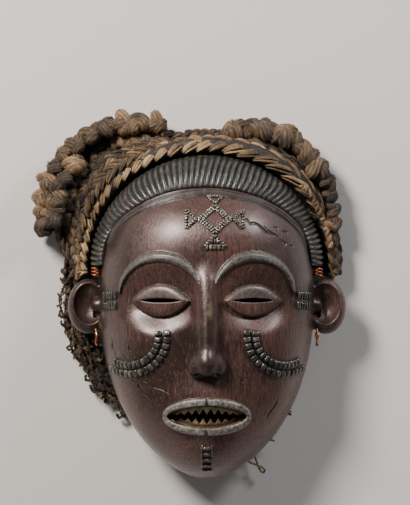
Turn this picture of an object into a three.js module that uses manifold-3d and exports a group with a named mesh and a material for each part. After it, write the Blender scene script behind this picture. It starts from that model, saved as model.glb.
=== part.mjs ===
// Chokwe mwana pwo dance mask: a carved wooden face with a fluted headband and a wig of plaited and knotted fibre.
// Millimetres. The mask lies on its open back with the face up: X across the face, Y from chin to crown, Z up.
// Inside the head's own frame the eyes lie on y = 0, the face's middle on x = 0 and the open back on z = 0.
import * as THREE from "three";
import { mergeVertices } from "three/addons/utils/BufferGeometryUtils.js";
import Module from "manifold-3d";

// Wooden head
const HEAD_WIDTH = 155;
const EYES_TO_CHIN = 130;
const EYES_TO_CROWN = 97;
const WIDEST_HEIGHT = 26;
const FACE_BULGE = 61;
const WALL = 8;
const RIM_TAPER = 0.95;

// Headband, a roll of ridges carved with the head
const BAND_FOOT = 28;
const BAND_RISE = 76;
const BAND_WIDTH = 24;
const BAND_BULGE = 5.5;
const BAND_DROP = 21;
const RIDGES = 58;
const RIDGE_DEPTH = 1.3;

// Face, laid out by the usual drawing canon: five eye widths across the head
const EYE_WIDTH = HEAD_WIDTH / 5;
const LID_WIDTH = 41;
const LID_HEIGHT = 23;
const LID_BULGE = 6;
const SLIT_WIDTH = 29;
const SLIT_GAP = 3;
const SOCKET_DEPTH = 8.5;
const BROW_WIDTH = 7.5;
const BROW_RAISE = 2.4;
const NOSE_BASE = -0.39 * EYES_TO_CHIN;
const NOSE_RAISE = 19;
const NOSE_HALF_WIDTH = EYE_WIDTH * 0.44;
const MOUTH_Y = -0.625 * EYES_TO_CHIN;
const MOUTH_WIDTH = 2.1 * EYE_WIDTH;
const MOUTH_HEIGHT = 27;
const LIP_WIDTH = 6.5;
const LIP_RAISE = 3.6;
const TEETH = 9;
const TOOTH_DEPTH = 5;

// Scar patterns
const SCAR_WIDTH = 11.5;
const SCAR_RADIUS = 24.4;
const SCAR_Y = -24;
const SCAR_RAISE = 1.9;
const SCAR_STUDS = 9;

// Ears and the copper wires
const EAR_WIDTH = 30;
const EAR_HEIGHT = 40;
const EAR_THICKNESS = 20;
const EAR_Y = -5;
const LOBE_HOLE_RADIUS = 2.6;
const WIRE_RADIUS = 0.7;
const EAR_WIRE_RADIUS = 7;
const TEMPLE_WIRE_RADIUS = 2.6;

// Wig
const GAP = 0.4;
const PLAIT_RADIUS = 6.8;
const PLAIT_CROSSINGS = 18;
const CAP_EDGE_HEIGHT = 17;
const CAP_OVERRUN = 5;
const CAP_ROWS = 2;
const KNOT_RADIUS = 8.2;
const KNOTS_PER_ROW = 11;
const ROW_DEPTH = 13;
const LOBE_LEFT = { x: -48, y: 61, across: 71, up: 67 };
const LOBE_RIGHT = { x: 29, y: 61, across: 62, up: 65 };
const FRINGE_WIDTH = 17;
const FRINGE_HEIGHT = 13;
const CORD_RADIUS = 1.1;

const HALF = HEAD_WIDTH / 2;
const RAD = Math.PI / 180;
const { clamp, lerp, smoothstep } = THREE.MathUtils;
const vec = (x, y, z) => new THREE.Vector3(x, y, z);
const MIRRORED = [
  ["left", -1],
  ["right", 1],
];

const wasm = await Module();
wasm.setup();

// Turns a closed geometry into a solid, with its faces pointing out.
function solid(geometry) {
  const bare = geometry.clone();
  bare.deleteAttribute("normal");
  bare.deleteAttribute("uv");
  const merged = mergeVertices(bare, 1e-4);
  const at = merged.attributes.position;
  const corner = (i) => new THREE.Vector3().fromBufferAttribute(at, i);
  const faces = [];
  let volume = 0;
  for (let i = 0; i < merged.index.count; i += 3) {
    const [a, b, c] = [0, 1, 2].map((k) => merged.index.getX(i + k));
    if (a === b || b === c || c === a) continue;
    faces.push(a, b, c);
    volume += corner(a).dot(corner(b).cross(corner(c)));
  }
  return new wasm.Manifold(
    new wasm.Mesh({
      numProp: 3,
      vertProperties: at.array,
      triVerts: new Uint32Array(volume < 0 ? faces.reverse() : faces),
    }),
  );
}

function geometryOf(manifold) {
  const mesh = manifold.getMesh();
  const geometry = new THREE.BufferGeometry();
  geometry.setAttribute("position", new THREE.BufferAttribute(mesh.vertProperties, 3));
  geometry.setIndex(new THREE.BufferAttribute(mesh.triVerts, 1));
  geometry.computeVertexNormals();
  return geometry;
}

function indexed(points, faces) {
  const geometry = new THREE.BufferGeometry().setFromPoints(points);
  geometry.setIndex(faces);
  return geometry;
}

// A closed solid through rings of points, each ring with as many points as the last; looped joins the ends.
function loft(rings, looped = false) {
  const count = rings[0].length;
  const points = rings.flat();
  const faces = [];
  for (let r = 0; r < rings.length - (looped ? 0 : 1); r++) {
    for (let k = 0; k < count; k++) {
      const next = (k + 1) % count;
      const [near, far] = [r * count, ((r + 1) % rings.length) * count];
      faces.push(near + k, near + next, far + k, near + next, far + next, far + k);
    }
  }
  const ends = looped ? [] : [0, rings.length - 1];
  ends.forEach((r, end) => {
    const middle = rings[r].reduce((sum, p) => sum.add(p), vec(0, 0, 0)).divideScalar(count);
    points.push(middle);
    for (let k = 0; k < count; k++) {
      const [a, b] = [r * count + k, r * count + ((k + 1) % count)];
      faces.push(...(end ? [a, b, points.length - 1] : [b, a, points.length - 1]));
    }
  });
  return solid(indexed(points, faces));
}

// A round-sectioned solid along a curve; radius may vary with the share of the length.
function tube(curve, steps, sides, radius) {
  const frames = curve.computeFrenetFrames(steps, false);
  const rings = [];
  for (let s = 0; s <= steps; s++) {
    const [at, r] = [curve.getPointAt(s / steps), radius(s / steps)];
    rings.push(
      Array.from({ length: sides }, (_, k) => {
        const turn = (2 * Math.PI * k) / sides;
        return at
          .clone()
          .addScaledVector(frames.normals[s], r * Math.cos(turn))
          .addScaledVector(frames.binormals[s], r * Math.sin(turn));
      }),
    );
  }
  return loft(rings);
}

// A closed solid between an upper and a lower grid of points, each given by shares u and v.
function slab(columns, rows, upper, lower) {
  const points = [];
  const faces = [];
  const layer = (columns + 1) * (rows + 1);
  for (const place of [upper, lower]) {
    for (let j = 0; j <= rows; j++) {
      for (let i = 0; i <= columns; i++) points.push(place(i / columns, j / rows));
    }
  }
  const at = (i, j) => j * (columns + 1) + i;
  const quad = (a, b, c, d) => faces.push(a, b, c, a, c, d);
  for (let j = 0; j < rows; j++) {
    for (let i = 0; i < columns; i++) {
      const [a, b, c, d] = [at(i, j), at(i + 1, j), at(i + 1, j + 1), at(i, j + 1)];
      quad(a, b, c, d);
      quad(layer + d, layer + c, layer + b, layer + a);
    }
  }
  for (let i = 0; i < columns; i++) {
    quad(at(i + 1, 0), at(i, 0), layer + at(i, 0), layer + at(i + 1, 0));
    quad(at(i, rows), at(i + 1, rows), layer + at(i + 1, rows), layer + at(i, rows));
  }
  for (let j = 0; j < rows; j++) {
    quad(at(0, j), at(0, j + 1), layer + at(0, j + 1), layer + at(0, j));
    quad(at(columns, j + 1), at(columns, j), layer + at(columns, j), layer + at(columns, j + 1));
  }
  return solid(indexed(points, faces));
}

function ellipsoid(centre, radii, segments, rings) {
  const ball = new THREE.SphereGeometry(1, segments, rings);
  ball.scale(radii.x, radii.y, radii.z).translate(centre.x, centre.y, centre.z);
  return solid(ball);
}

const union = (parts) => parts.reduce((sum, part) => sum.add(part));

// The main body of a cut solid, without the crumbs and sealed voids that a cut can leave.
function largest(manifold) {
  return manifold.decompose().reduce((best, body) => (body.volume() > best.volume() ? body : best));
}

// The smooth head: its outline from the front, and the height of its front over the open back.
function halfWidth(y, grow = 0) {
  const reach = (y > 0 ? EYES_TO_CROWN : EYES_TO_CHIN) + grow;
  const share = Math.min(1, Math.abs(y) / reach);
  const fullness = y > 0 ? [2.3, 1 / 2.2] : [2.2, 1 / 1.7];
  return (HALF + grow) * (1 - share ** fullness[0]) ** fullness[1];
}

const swell = (dx, dy) => Math.max(0, 1 - dx * dx - dy * dy) ** 2;

// Broad carved forms of the face, as a height added to the smooth head.
function broadForms(x, y) {
  const side = Math.abs(x);
  return (
    -SOCKET_DEPTH * swell((side - 1.08 * EYE_WIDTH) / 33, (y - 1) / 27) +
    3 * swell(x / 62, (y - 52) / 36) +
    3 * swell((side - 46) / 26, (y + 33) / 28) +
    8 * swell(x / 46, (y - MOUTH_Y) / 36) +
    6 * swell(x / 34, (y - 0.87 * -EYES_TO_CHIN) / 24)
  );
}

function skinHeight(x, y, grow = 0) {
  const reach = (y > 0 ? EYES_TO_CROWN : EYES_TO_CHIN) + grow;
  const along = Math.min(1, Math.abs(y) / reach);
  const across = Math.min(1, Math.abs(x) / Math.max(halfWidth(y, grow), 1e-6));
  const rise = (FACE_BULGE + grow) * Math.sqrt(1 - along ** (y > 0 ? 2.3 : 2.6));
  return WIDEST_HEIGHT + rise * (1 - across ** 2.3) ** (1 / 2.2) + broadForms(x, y);
}

function skinNormal(x, y) {
  const step = 0.5;
  const dx = skinHeight(x + step, y) - skinHeight(x - step, y);
  const dy = skinHeight(x, y + step) - skinHeight(x, y - step);
  return vec(-dx, -dy, 2 * step).normalize();
}

// The point of the skin seen from the front at x, y, moved out along the skin's normal.
function onSkin(x, y, lift = 0) {
  return vec(x, y, skinHeight(x, y)).addScaledVector(skinNormal(x, y), lift);
}

// The head's form as one closed lump, grown by a margin all round; floor is where it is cut off below.
function headLump(columns, rows, grow, floor) {
  const points = [];
  const faces = [];
  const at = (i, j) => j * (columns + 1) + i;
  for (let j = 0; j <= rows; j++) {
    for (let i = 0; i <= columns; i++) {
      const [u, v] = [(2 * i) / columns - 1, (2 * j) / rows - 1];
      const disc = new THREE.Vector2(u * Math.sqrt(1 - (v * v) / 2), v * Math.sqrt(1 - (u * u) / 2));
      const radius = Math.min(1, disc.length());
      disc.setLength(lerp(radius, Math.sin((radius * Math.PI) / 2), 0.6));
      const y = disc.y * ((disc.y > 0 ? EYES_TO_CROWN : EYES_TO_CHIN) + grow);
      const x = clamp(disc.x / Math.sqrt(Math.max(1e-9, 1 - disc.y * disc.y)), -1, 1) * halfWidth(y, grow);
      points.push(vec(x, y, skinHeight(x, y, grow)));
      if (i < columns && j < rows) {
        faces.push(at(i, j), at(i + 1, j), at(i + 1, j + 1), at(i, j), at(i + 1, j + 1), at(i, j + 1));
      }
    }
  }
  const edge = [];
  for (let i = 0; i < columns; i++) edge.push(at(i, 0));
  for (let j = 0; j < rows; j++) edge.push(at(columns, j));
  for (let i = columns; i > 0; i--) edge.push(at(i, rows));
  for (let j = rows; j > 0; j--) edge.push(at(0, j));
  const foot = points.length;
  for (const e of edge) points.push(vec(points[e].x * RIM_TAPER, points[e].y * RIM_TAPER, floor));
  const middle = points.push(vec(0, 0, floor)) - 1;
  edge.forEach((e, k) => {
    const next = (k + 1) % edge.length;
    faces.push(edge[next], e, foot + k, edge[next], foot + k, foot + next);
    faces.push(foot + next, foot + k, middle);
  });
  return solid(indexed(points, faces));
}

// A point of the headband: turn runs from 0 at the right end over the top to 180, across from the front edge to the back.
function bandPoint(turn, across, ridge = 0, grow = 0) {
  const edges = (degrees) => {
    const inner = degrees + 3.6 * Math.sin(2 * degrees * RAD);
    const front = vec((HALF - 2) * Math.cos(inner * RAD), BAND_FOOT + (BAND_RISE - BAND_WIDTH) * Math.sin(inner * RAD), 0);
    const back = vec((HALF + 3) * Math.cos(degrees * RAD), BAND_FOOT + BAND_RISE * Math.sin(degrees * RAD), 0);
    const reach = 0.985 * halfWidth(front.y);
    front.z = skinHeight(clamp(front.x, -reach, reach), front.y) + 1;
    back.z = front.z - BAND_DROP - 4 * Math.abs(Math.cos(degrees * RAD));
    return [front, back];
  };
  const [front, back] = edges(turn);
  const along = edges(turn + 1)[1].sub(edges(turn - 1)[1]);
  const out = along.cross(back.clone().sub(front)).normalize();
  if (out.dot(vec(back.x, back.y - BAND_FOOT, HALF)) < 0) out.negate();
  const arch = Math.sin(Math.PI * clamp(across, 0, 1)) ** 0.7;
  return front.lerp(back, across).addScaledVector(out, grow + arch * (BAND_BULGE + ridge));
}

// The fluted roll itself, or with grow a plain roll that clears it and all that is under it.
function headband(grow = 0) {
  const steps = grow ? RIDGES / 2 : 2 * RIDGES;
  const overrun = 3 + grow;
  const shares = [0, 0.25, 0.75, 1];
  const rings = [];
  for (let k = 0; k <= steps; k++) {
    const turn = lerp(-overrun, 180 + overrun, k / steps);
    const ridge = grow || k % 2 ? 0.5 * RIDGE_DEPTH : -0.5 * RIDGE_DEPTH;
    const ring = shares.map((share) => bandPoint(turn, lerp(-0.05 * grow, 1 + 0.05 * grow, share), ridge, grow));
    const root = bandPoint(turn, 0.5).lerp(vec(0, BAND_FOOT, bandPoint(turn, 0.5).z), 0.16);
    if (grow) ring.push(ring.at(-1).clone().setZ(-1), root.setZ(-1));
    else ring.push(root.setZ(root.z - 6));
    rings.push(ring);
  }
  return loft(rings);
}

// A raised strip on the skin along a path in the front view, with one crown or more side by side.
function strip(path, steps, width, raise, crowns = 1) {
  const rings = [];
  for (let s = 0; s <= steps; s++) {
    const u = s / steps;
    const along = path(Math.min(1, u + 0.01)).sub(path(Math.max(0, u - 0.01)));
    const side = along.normalize().rotateAround(flat(0, 0), Math.PI / 2);
    const place = (share, lift) => {
      const at = path(u).addScaledVector(side, share * width(u));
      return onSkin(at.x, at.y, lift);
    };
    const top = Array.from({ length: 2 * crowns + 1 }, (_, k) =>
      place(k / (2 * crowns) - 0.5, (k % 2 ? 1 : 0.25) * raise(u)),
    );
    rings.push([...top, place(0, -2)]);
  }
  return loft(rings);
}

const flat = (x, y) => new THREE.Vector2(x, y);
const straight = (from, to) => (u) => from.clone().lerp(to, u);

function brow(sign) {
  const path = (u) => {
    const turn = lerp(168, -12, Math.min(1, u / 0.94)) * RAD;
    const centre = 1.08 * EYE_WIDTH;
    return flat(sign * (centre + 30 * Math.cos(turn)), 4 + 27 * Math.sin(turn));
  };
  const width = (u) => BROW_WIDTH * lerp(0.45, 1, Math.sin(Math.PI * clamp(u, 0.02, 0.98)) ** 0.6);
  return strip(path, 12, width, () => BROW_RAISE);
}

function almond(u, v, width, height) {
  const along = 2 * u - 1;
  const half = (height / 2) * (1 - Math.abs(along) ** 2.2);
  return flat((width / 2) * along, half * (2 * v - 1));
}

function eyelid(sign) {
  const place = (u, v, lift) => {
    const at = almond(u, v, LID_WIDTH, LID_HEIGHT);
    return onSkin(sign * EYE_WIDTH * 1.05 + at.x, at.y, lift);
  };
  const dome = (u, v) => 1 + LID_BULGE * Math.sqrt(Math.max(0, (1 - (2 * u - 1) ** 2) * (1 - (2 * v - 1) ** 2)));
  return slab(
    8,
    4,
    (u, v) => place(u, v, dome(u, v)),
    (u, v) => place(u, v, -3),
  );
}

function eyeSlit(sign) {
  const place = (u, v, z) => {
    const at = almond(u, v, SLIT_WIDTH, SLIT_GAP);
    return vec(sign * EYE_WIDTH * 1.05 + at.x, at.y, z);
  };
  return slab(
    8,
    1,
    (u, v) => place(u, v, 140),
    (u, v) => place(u, v, -5),
  );
}

function nose() {
  const root = 14;
  const rings = [];
  for (const share of [0, 0.2, 0.45, 0.7, 0.9, 1]) {
    const y = lerp(root, NOSE_BASE, share);
    const half = lerp(5, NOSE_HALF_WIDTH * 0.66, share ** 1.3);
    const raise = share < 1 ? lerp(4.5, NOSE_RAISE, share) : NOSE_RAISE * 0.62;
    const base = skinHeight(0, y);
    const section = [
      [-1.7 * half, -3],
      [-half, 0.45 * raise],
      [-0.42 * half, raise],
      [0.42 * half, raise],
      [half, 0.45 * raise],
      [1.7 * half, -3],
    ];
    rings.push(section.map(([x, z]) => vec(x, y, (z < 0 ? skinHeight(x, y) : base) + z)));
  }
  const wings = MIRRORED.map(([, sign]) => {
    const x = sign * NOSE_HALF_WIDTH * 0.62;
    const y = NOSE_BASE + 5;
    return ellipsoid(vec(x, y, skinHeight(x, y) + 4), vec(NOSE_HALF_WIDTH * 0.46, 6.5, 7.5), 8, 6);
  });
  return union([loft(rings), ...wings]);
}

function nostril(sign) {
  const x = sign * NOSE_HALF_WIDTH * 0.55;
  return ellipsoid(vec(x, NOSE_BASE - 1, skinHeight(x, NOSE_BASE) + 4), vec(3.4, 3.6, 4.5), 8, 5);
}

function lips() {
  const steps = 18;
  const rings = [];
  for (let k = 0; k < steps; k++) {
    const turn = (2 * Math.PI * k) / steps;
    const narrow = LIP_WIDTH * lerp(0.55, 1, Math.abs(Math.sin(turn)));
    const place = (inset, lift) => {
      const x = (MOUTH_WIDTH / 2 - inset * narrow) * Math.cos(turn);
      const y = MOUTH_Y + (MOUTH_HEIGHT / 2 - inset * narrow) * Math.sin(turn);
      return onSkin(x, y, lift);
    };
    rings.push([place(0, 0.6), place(0.35, LIP_RAISE), place(0.75, LIP_RAISE), place(1, 0.8), place(0.5, -2)]);
  }
  return loft(rings, true);
}

// The notch that parts each lip in the middle.
function lipNotches() {
  const half = 0.9;
  const place = (u, v, z) => vec(lerp(-half, half, u), MOUTH_Y + lerp(-MOUTH_HEIGHT / 2, MOUTH_HEIGHT / 2, v), z);
  const floor = (v) => skinHeight(0, MOUTH_Y + lerp(-MOUTH_HEIGHT / 2, MOUTH_HEIGHT / 2, v)) + 0.8;
  return slab(
    1,
    4,
    (u, v) => place(u, v, 140),
    (u, v) => place(u, v, floor(v)),
  );
}

const GUM_WIDTH = MOUTH_WIDTH - 1.5 * LIP_WIDTH;
const GUM_HEIGHT = MOUTH_HEIGHT - 2 * LIP_WIDTH + 1;

function mouthRecess() {
  const place = (u, v) => almond(u, v, GUM_WIDTH, GUM_HEIGHT * 1.12);
  return slab(
    10,
    1,
    (u, v) => vec(place(u, v).x, MOUTH_Y + place(u, v).y, 140),
    (u, v) => onSkin(place(u, v).x, MOUTH_Y + place(u, v).y, -TOOTH_DEPTH),
  );
}

// The way through between the filed teeth: a zigzag above and another below.
function toothGap() {
  const place = (u, v, z) => {
    const x = (u - 0.5) * GUM_WIDTH * 0.86;
    const open = (GUM_HEIGHT / 2) * (1 - Math.abs(2 * u - 1) ** 2.2) * 0.86;
    const tip = Math.round(u * 2 * TEETH) % 2;
    const edge = v > 0.5 ? (tip ? 0.16 : 0.8) : tip ? -0.75 : -0.1;
    return vec(x, MOUTH_Y + edge * open + 0.4 * (2 * v - 1), z);
  };
  return slab(
    2 * TEETH,
    1,
    (u, v) => place(u, v, 140),
    (u, v) => place(u, v, -5),
  );
}

// Two rows of studs in an arc across each cheek.
function cheekScars(sign) {
  const path = (u) => {
    const turn = lerp(172, 298, u) * RAD;
    return flat(sign * (0.715 * HALF + SCAR_RADIUS * Math.cos(turn)), SCAR_Y + SCAR_RADIUS * Math.sin(turn));
  };
  const steps = 2 * SCAR_STUDS - 1;
  const raise = (u) => (Math.round(u * steps) % 2 ? 0.35 : 1) * SCAR_RAISE;
  return strip(path, steps, () => SCAR_WIDTH, raise, 2);
}

// Two short rows of studs in front of each ear.
function templeScars(sign) {
  const rows = [2.8, -4.4].map((y) => {
    const path = straight(flat(sign * (HALF - 14), y + 0.8), flat(sign * (HALF - 5), y));
    const raise = (u) => (Math.round(u * 5) % 2 ? 0.4 : 1) * SCAR_RAISE;
    return strip(path, 5, () => 5, raise);
  });
  return union(rows);
}

// The forehead sign: a lozenge with a small triangle at each corner.
function foreheadSign() {
  const centre = flat(5, 58);
  const corner = (k, reach) => flat(reach, 0).rotateAround(flat(0, 0), k * 90 * RAD);
  const lozenge = [0, 1, 2, 3].map((k) => {
    const place = (reach, lift) => {
      const at = corner(k, reach).add(centre);
      return onSkin(at.x, at.y, lift);
    };
    return [place(8, 0.4), place(10, 1.4), place(12, 0.4), place(10, -2)];
  });
  const triangles = [0, 1, 2, 3].map((k) => {
    const axis = straight(corner(k, 13).add(centre), corner(k, 19).add(centre));
    return strip(axis, 1, (u) => lerp(1.2, 13, u), () => 1.2);
  });
  return [loft(lozenge, true), ...triangles];
}

function chinMarks() {
  const [top, bottom] = [0.8 * -EYES_TO_CHIN, 0.925 * -EYES_TO_CHIN];
  const rungs = [0, 1, 2, 3].map((k) => {
    const y = lerp(top, bottom, k / 3);
    return strip(straight(flat(-3.2, y), flat(3.2, y)), 1, () => 2.6, () => 1.3);
  });
  return rungs;
}

const earCentre = (sign) => vec(sign * (HALF + 0.28 * EAR_WIDTH), EAR_Y, WIDEST_HEIGHT + 3);

function earShell(sign, grow = 0) {
  const radii = vec(EAR_WIDTH / 2, EAR_HEIGHT / 2, EAR_THICKNESS / 2).addScalar(grow);
  return ellipsoid(earCentre(sign), radii, 10, 6);
}

function ear(sign) {
  const centre = earCentre(sign);
  const bowl = ellipsoid(
    centre.clone().add(vec(-sign * 0.02 * EAR_WIDTH, 0.05 * EAR_HEIGHT, 0.42 * EAR_THICKNESS)),
    vec(0.36 * EAR_WIDTH, 0.35 * EAR_HEIGHT, 0.5 * EAR_THICKNESS),
    8,
    5,
  );
  const tragus = ellipsoid(
    vec(sign * (HALF + 0.02 * EAR_WIDTH), EAR_Y + 1, centre.z + 0.2 * EAR_THICKNESS),
    vec(0.17 * EAR_WIDTH, 0.13 * EAR_HEIGHT, 0.25 * EAR_THICKNESS),
    5,
    4,
  );
  const hole = new THREE.CylinderGeometry(LOBE_HOLE_RADIUS, LOBE_HOLE_RADIUS, 3 * EAR_THICKNESS, 8);
  const at = lobeHole(sign);
  hole.rotateX(Math.PI / 2).translate(at.x, at.y, at.z);
  return earShell(sign).subtract(bowl).add(tragus).subtract(solid(hole));
}

const lobeHole = (sign) => earCentre(sign).add(vec(-sign * 0.2 * EAR_WIDTH, -0.375 * EAR_HEIGHT, 0));

const hollow = () => headLump(10, 12, -WALL, -1);

function woodenMask() {
  const outside = union([
    headLump(16, 20, 0, 0),
    headband(),
    nose(),
    lips(),
    ...MIRRORED.flatMap(([, sign]) => [brow(sign), eyelid(sign), cheekScars(sign), templeScars(sign)]),
    ...foreheadSign(),
    ...chinMarks(),
  ]);
  const cuts = union([
    hollow(),
    mouthRecess(),
    toothGap(),
    lipNotches(),
    ...MIRRORED.flatMap(([, sign]) => [eyeSlit(sign), nostril(sign)]),
  ]);
  const ears = MIRRORED.map(([, sign]) => ear(sign).subtract(hollow()));
  return largest(union([outside.subtract(cuts), ...ears]));
}

// Where a ray from the band's centre leaves the wig: the outermost of the two lobes, or the plait if that is further.
function wigEdge(turn) {
  const ray = flat(Math.cos(turn * RAD), Math.sin(turn * RAD));
  const rim = plaitCentre(turn);
  let reach = Math.hypot(rim.x, rim.y - BAND_FOOT) + PLAIT_RADIUS;
  for (const lobe of [LOBE_LEFT, LOBE_RIGHT]) {
    const across = lobe.across - 0.8 * KNOT_RADIUS;
    const up = lobe.up - 0.8 * KNOT_RADIUS;
    const start = flat(-lobe.x / across, (BAND_FOOT - lobe.y) / up);
    const step = flat(ray.x / across, ray.y / up);
    const [a, b, c] = [step.dot(step), start.dot(step), start.dot(start) - 1];
    if (b * b > a * c) reach = Math.max(reach, (Math.sqrt(b * b - a * c) - b) / a);
  }
  return vec(reach * ray.x, BAND_FOOT + reach * ray.y, 0);
}

// The middle line of the plait that edges the wig, just behind the headband.
function plaitCentre(turn) {
  const back = bandPoint(turn, 1);
  const out = flat(Math.cos(turn * RAD), Math.sin(turn * RAD));
  const [low, high] = [PLAIT_RADIUS + 4, back.z - 2];
  const height = (low + high + Math.hypot(high - low, 12)) / 2;
  return vec(back.x + (PLAIT_RADIUS + 4.5) * out.x, back.y + (PLAIT_RADIUS + 1.5) * out.y, height);
}

// The woven cap: rows of fibre from behind the headband out to the knotted braids.
function capArch(grow = 0) {
  const rings = [];
  const steps = 20;
  for (let k = 0; k <= steps; k++) {
    const turn = lerp(-CAP_OVERRUN - grow, 180 + CAP_OVERRUN + grow, k / steps);
    const inner = vec(0.9 * HALF * Math.cos(turn * RAD), BAND_FOOT + 0.6 * BAND_RISE * Math.sin(turn * RAD), -grow);
    const rim = plaitCentre(turn);
    const edge = wigEdge(turn);
    const span = edge.clone().sub(rim).setZ(0);
    edge.add(edge.clone().sub(inner).setZ(0).setLength(grow));
    const rows = Array.from({ length: 2 * CAP_ROWS }, (_, row) => {
      const share = (row + 1) / (2 * CAP_ROWS);
      const height = lerp(rim.z, CAP_EDGE_HEIGHT, share ** 1.5) + (row % 2 ? 2.5 : -1);
      return rim.clone().addScaledVector(span, 0.86 * share).setZ(height + grow);
    });
    rings.push([
      inner,
      inner.clone().setZ(rim.z + grow),
      rim.clone().setZ(rim.z + grow),
      ...rows,
      edge.clone().setZ(0.7 * CAP_EDGE_HEIGHT + grow),
      edge.clone().setZ(-grow),
    ]);
  }
  return loft(rings);
}

function plaitTube(steps, sides, radius, overrun = 9) {
  const points = Array.from({ length: 15 }, (_, k) => plaitCentre(lerp(-overrun, 180 + overrun, k / 14)));
  return tube(new THREE.CatmullRomCurve3(points), steps, sides, radius);
}

const plaitBed = () => plaitTube(28, 8, () => 1.08 * PLAIT_RADIUS + 5.2 * GAP, 13);

// Fat strands crossing over each other, seen as a row of swellings.
function frontPlait() {
  const steps = 2 * PLAIT_CROSSINGS;
  return plaitTube(steps, 6, (u) => PLAIT_RADIUS * (Math.round(u * steps) % 2 ? 1.08 : 0.8));
}

// Knots along the edge of a lobe of the wig: round in front, and as deep as two knots, down to the back row.
function knottedBraid(lobe, start, end) {
  const front = CAP_EDGE_HEIGHT + 6;
  const points = Array.from({ length: 12 }, (_, k) => {
    const turn = lerp(start, end, k / 11) * RAD;
    return vec(lobe.x + lobe.across * Math.cos(turn), lobe.y + lobe.up * Math.sin(turn), front);
  });
  const curve = new THREE.CatmullRomCurve3(points);
  const section = [
    [-25, 0],
    [30, 0],
    [90, 0],
    [150, 0],
    [205, 0],
    [215, ROW_DEPTH],
    [270, ROW_DEPTH],
    [325, ROW_DEPTH],
  ];
  const steps = 3 * KNOTS_PER_ROW;
  const rings = [];
  for (let s = 0; s <= steps; s++) {
    const [at, along] = [curve.getPointAt(s / steps), curve.getTangentAt(s / steps)];
    const out = vec(along.y, -along.x, 0).setLength(start < end ? 1 : -1);
    const swelling = lerp(0.86, 1.06, Math.sin(Math.PI * clamp((s / steps) * 0.9 + 0.12, 0, 1)));
    const radius = KNOT_RADIUS * swelling * (s % 3 ? 1 : 0.6);
    rings.push(
      section.map(([turn, drop]) => {
        const flatter = drop ? 0.88 : 1;
        return at
          .clone()
          .addScaledVector(out, flatter * radius * Math.cos(turn * RAD))
          .setZ(front - drop + radius * flatter * Math.sin(turn * RAD));
      }),
    );
  }
  return loft(rings);
}

// Knotted remains of netting that hang from the wig behind one ear, down to the jaw.
function sideFringe() {
  const places = [
    [-1.2, 30],
    [-1.27, 8],
    [-1.25, -18],
    [-1.13, -42],
    [-0.98, -62],
    [-0.78, -78],
    [-0.7, -86],
  ];
  const curve = new THREE.CatmullRomCurve3(places.map(([x, y]) => vec(x * HALF, y, FRINGE_HEIGHT / 2 + 1)));
  const steps = 18;
  const rings = [];
  for (let s = 0; s <= steps; s++) {
    const [at, along] = [curve.getPointAt(s / steps), curve.getTangentAt(s / steps)];
    const side = vec(-along.y, along.x, 0).normalize();
    const full = lerp(1, 0.3, (s / steps) ** 2) * (s % 2 ? 1 : 0.84);
    rings.push(
      Array.from({ length: 6 }, (_, k) => {
        const turn = (2 * Math.PI * (k + 0.5)) / 6;
        return at
          .clone()
          .addScaledVector(side, (FRINGE_WIDTH / 2) * full * Math.cos(turn))
          .setZ(at.z + (FRINGE_HEIGHT / 2) * lerp(full, 1, 0.4) * Math.sin(turn));
      }),
    );
  }
  return loft(rings);
}

// A copper loop through the hole in the ear lobe.
function earWire(sign) {
  const hole = lobeHole(sign);
  const loop = new THREE.TorusGeometry(EAR_WIRE_RADIUS, WIRE_RADIUS, 4, 12);
  loop.rotateY(Math.PI / 2).translate(hole.x, hole.y - EAR_WIRE_RADIUS + 0.8, hole.z);
  return solid(loop);
}

// Turns of copper wire that fasten the wig at the foot of the headband.
function templeWire(sign) {
  const foot = BAND_FOOT - 8;
  const x = sign * (halfWidth(foot) + TEMPLE_WIRE_RADIUS + WIRE_RADIUS + 2 * GAP);
  const height = WIDEST_HEIGHT + 4;
  const points = Array.from({ length: 21 }, (_, k) => {
    const turn = (k / 20) * 5 * Math.PI;
    return vec(
      x + TEMPLE_WIRE_RADIUS * Math.cos(turn),
      foot + (k / 20 - 0.5) * 6,
      height + TEMPLE_WIRE_RADIUS * Math.sin(turn),
    );
  });
  return tube(new THREE.CatmullRomCurve3(points), 18, 3, () => WIRE_RADIUS);
}

// A point beside the jaw, on the side away from the fringe, as far out as the tapering wood reaches at that height.
function besideJaw(y, z, clear) {
  const taper = lerp(RIM_TAPER, 1, z / WIDEST_HEIGHT);
  return vec(halfWidth(y / taper) * taper + clear, y, z);
}

// Ends of cord knotted at the rim of the jaw.
function jawKnot(y, radius) {
  return ellipsoid(besideJaw(y, 7, 0.7 * radius), vec(radius, 0.8 * radius, radius), 7, 5);
}

function jawCord() {
  const start = besideJaw(-0.88 * EYES_TO_CHIN, 5, 3);
  const points = Array.from({ length: 13 }, (_, k) => {
    const turn = (k / 12) * 1.8 * Math.PI;
    const along = 8 * (1 - Math.cos(turn));
    const swing = 3 * Math.sin(turn);
    return start.clone().add(vec(0.66 * along + swing, swing - 0.66 * along, k / 6));
  });
  return tube(new THREE.CatmullRomCurve3(points), 12, 4, () => CORD_RADIUS);
}

const WOOD = { color: 0x3b2723, roughness: 0.42, metalness: 0 };
const FIBRE = { color: 0x6b543b, roughness: 0.85, metalness: 0 };
const COPPER = { color: 0xb0633c, roughness: 0.35, metalness: 0.9 };

function named(name, manifold, look) {
  const mesh = new THREE.Mesh(geometryOf(manifold), new THREE.MeshStandardMaterial(look));
  mesh.name = name;
  return mesh;
}

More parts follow.
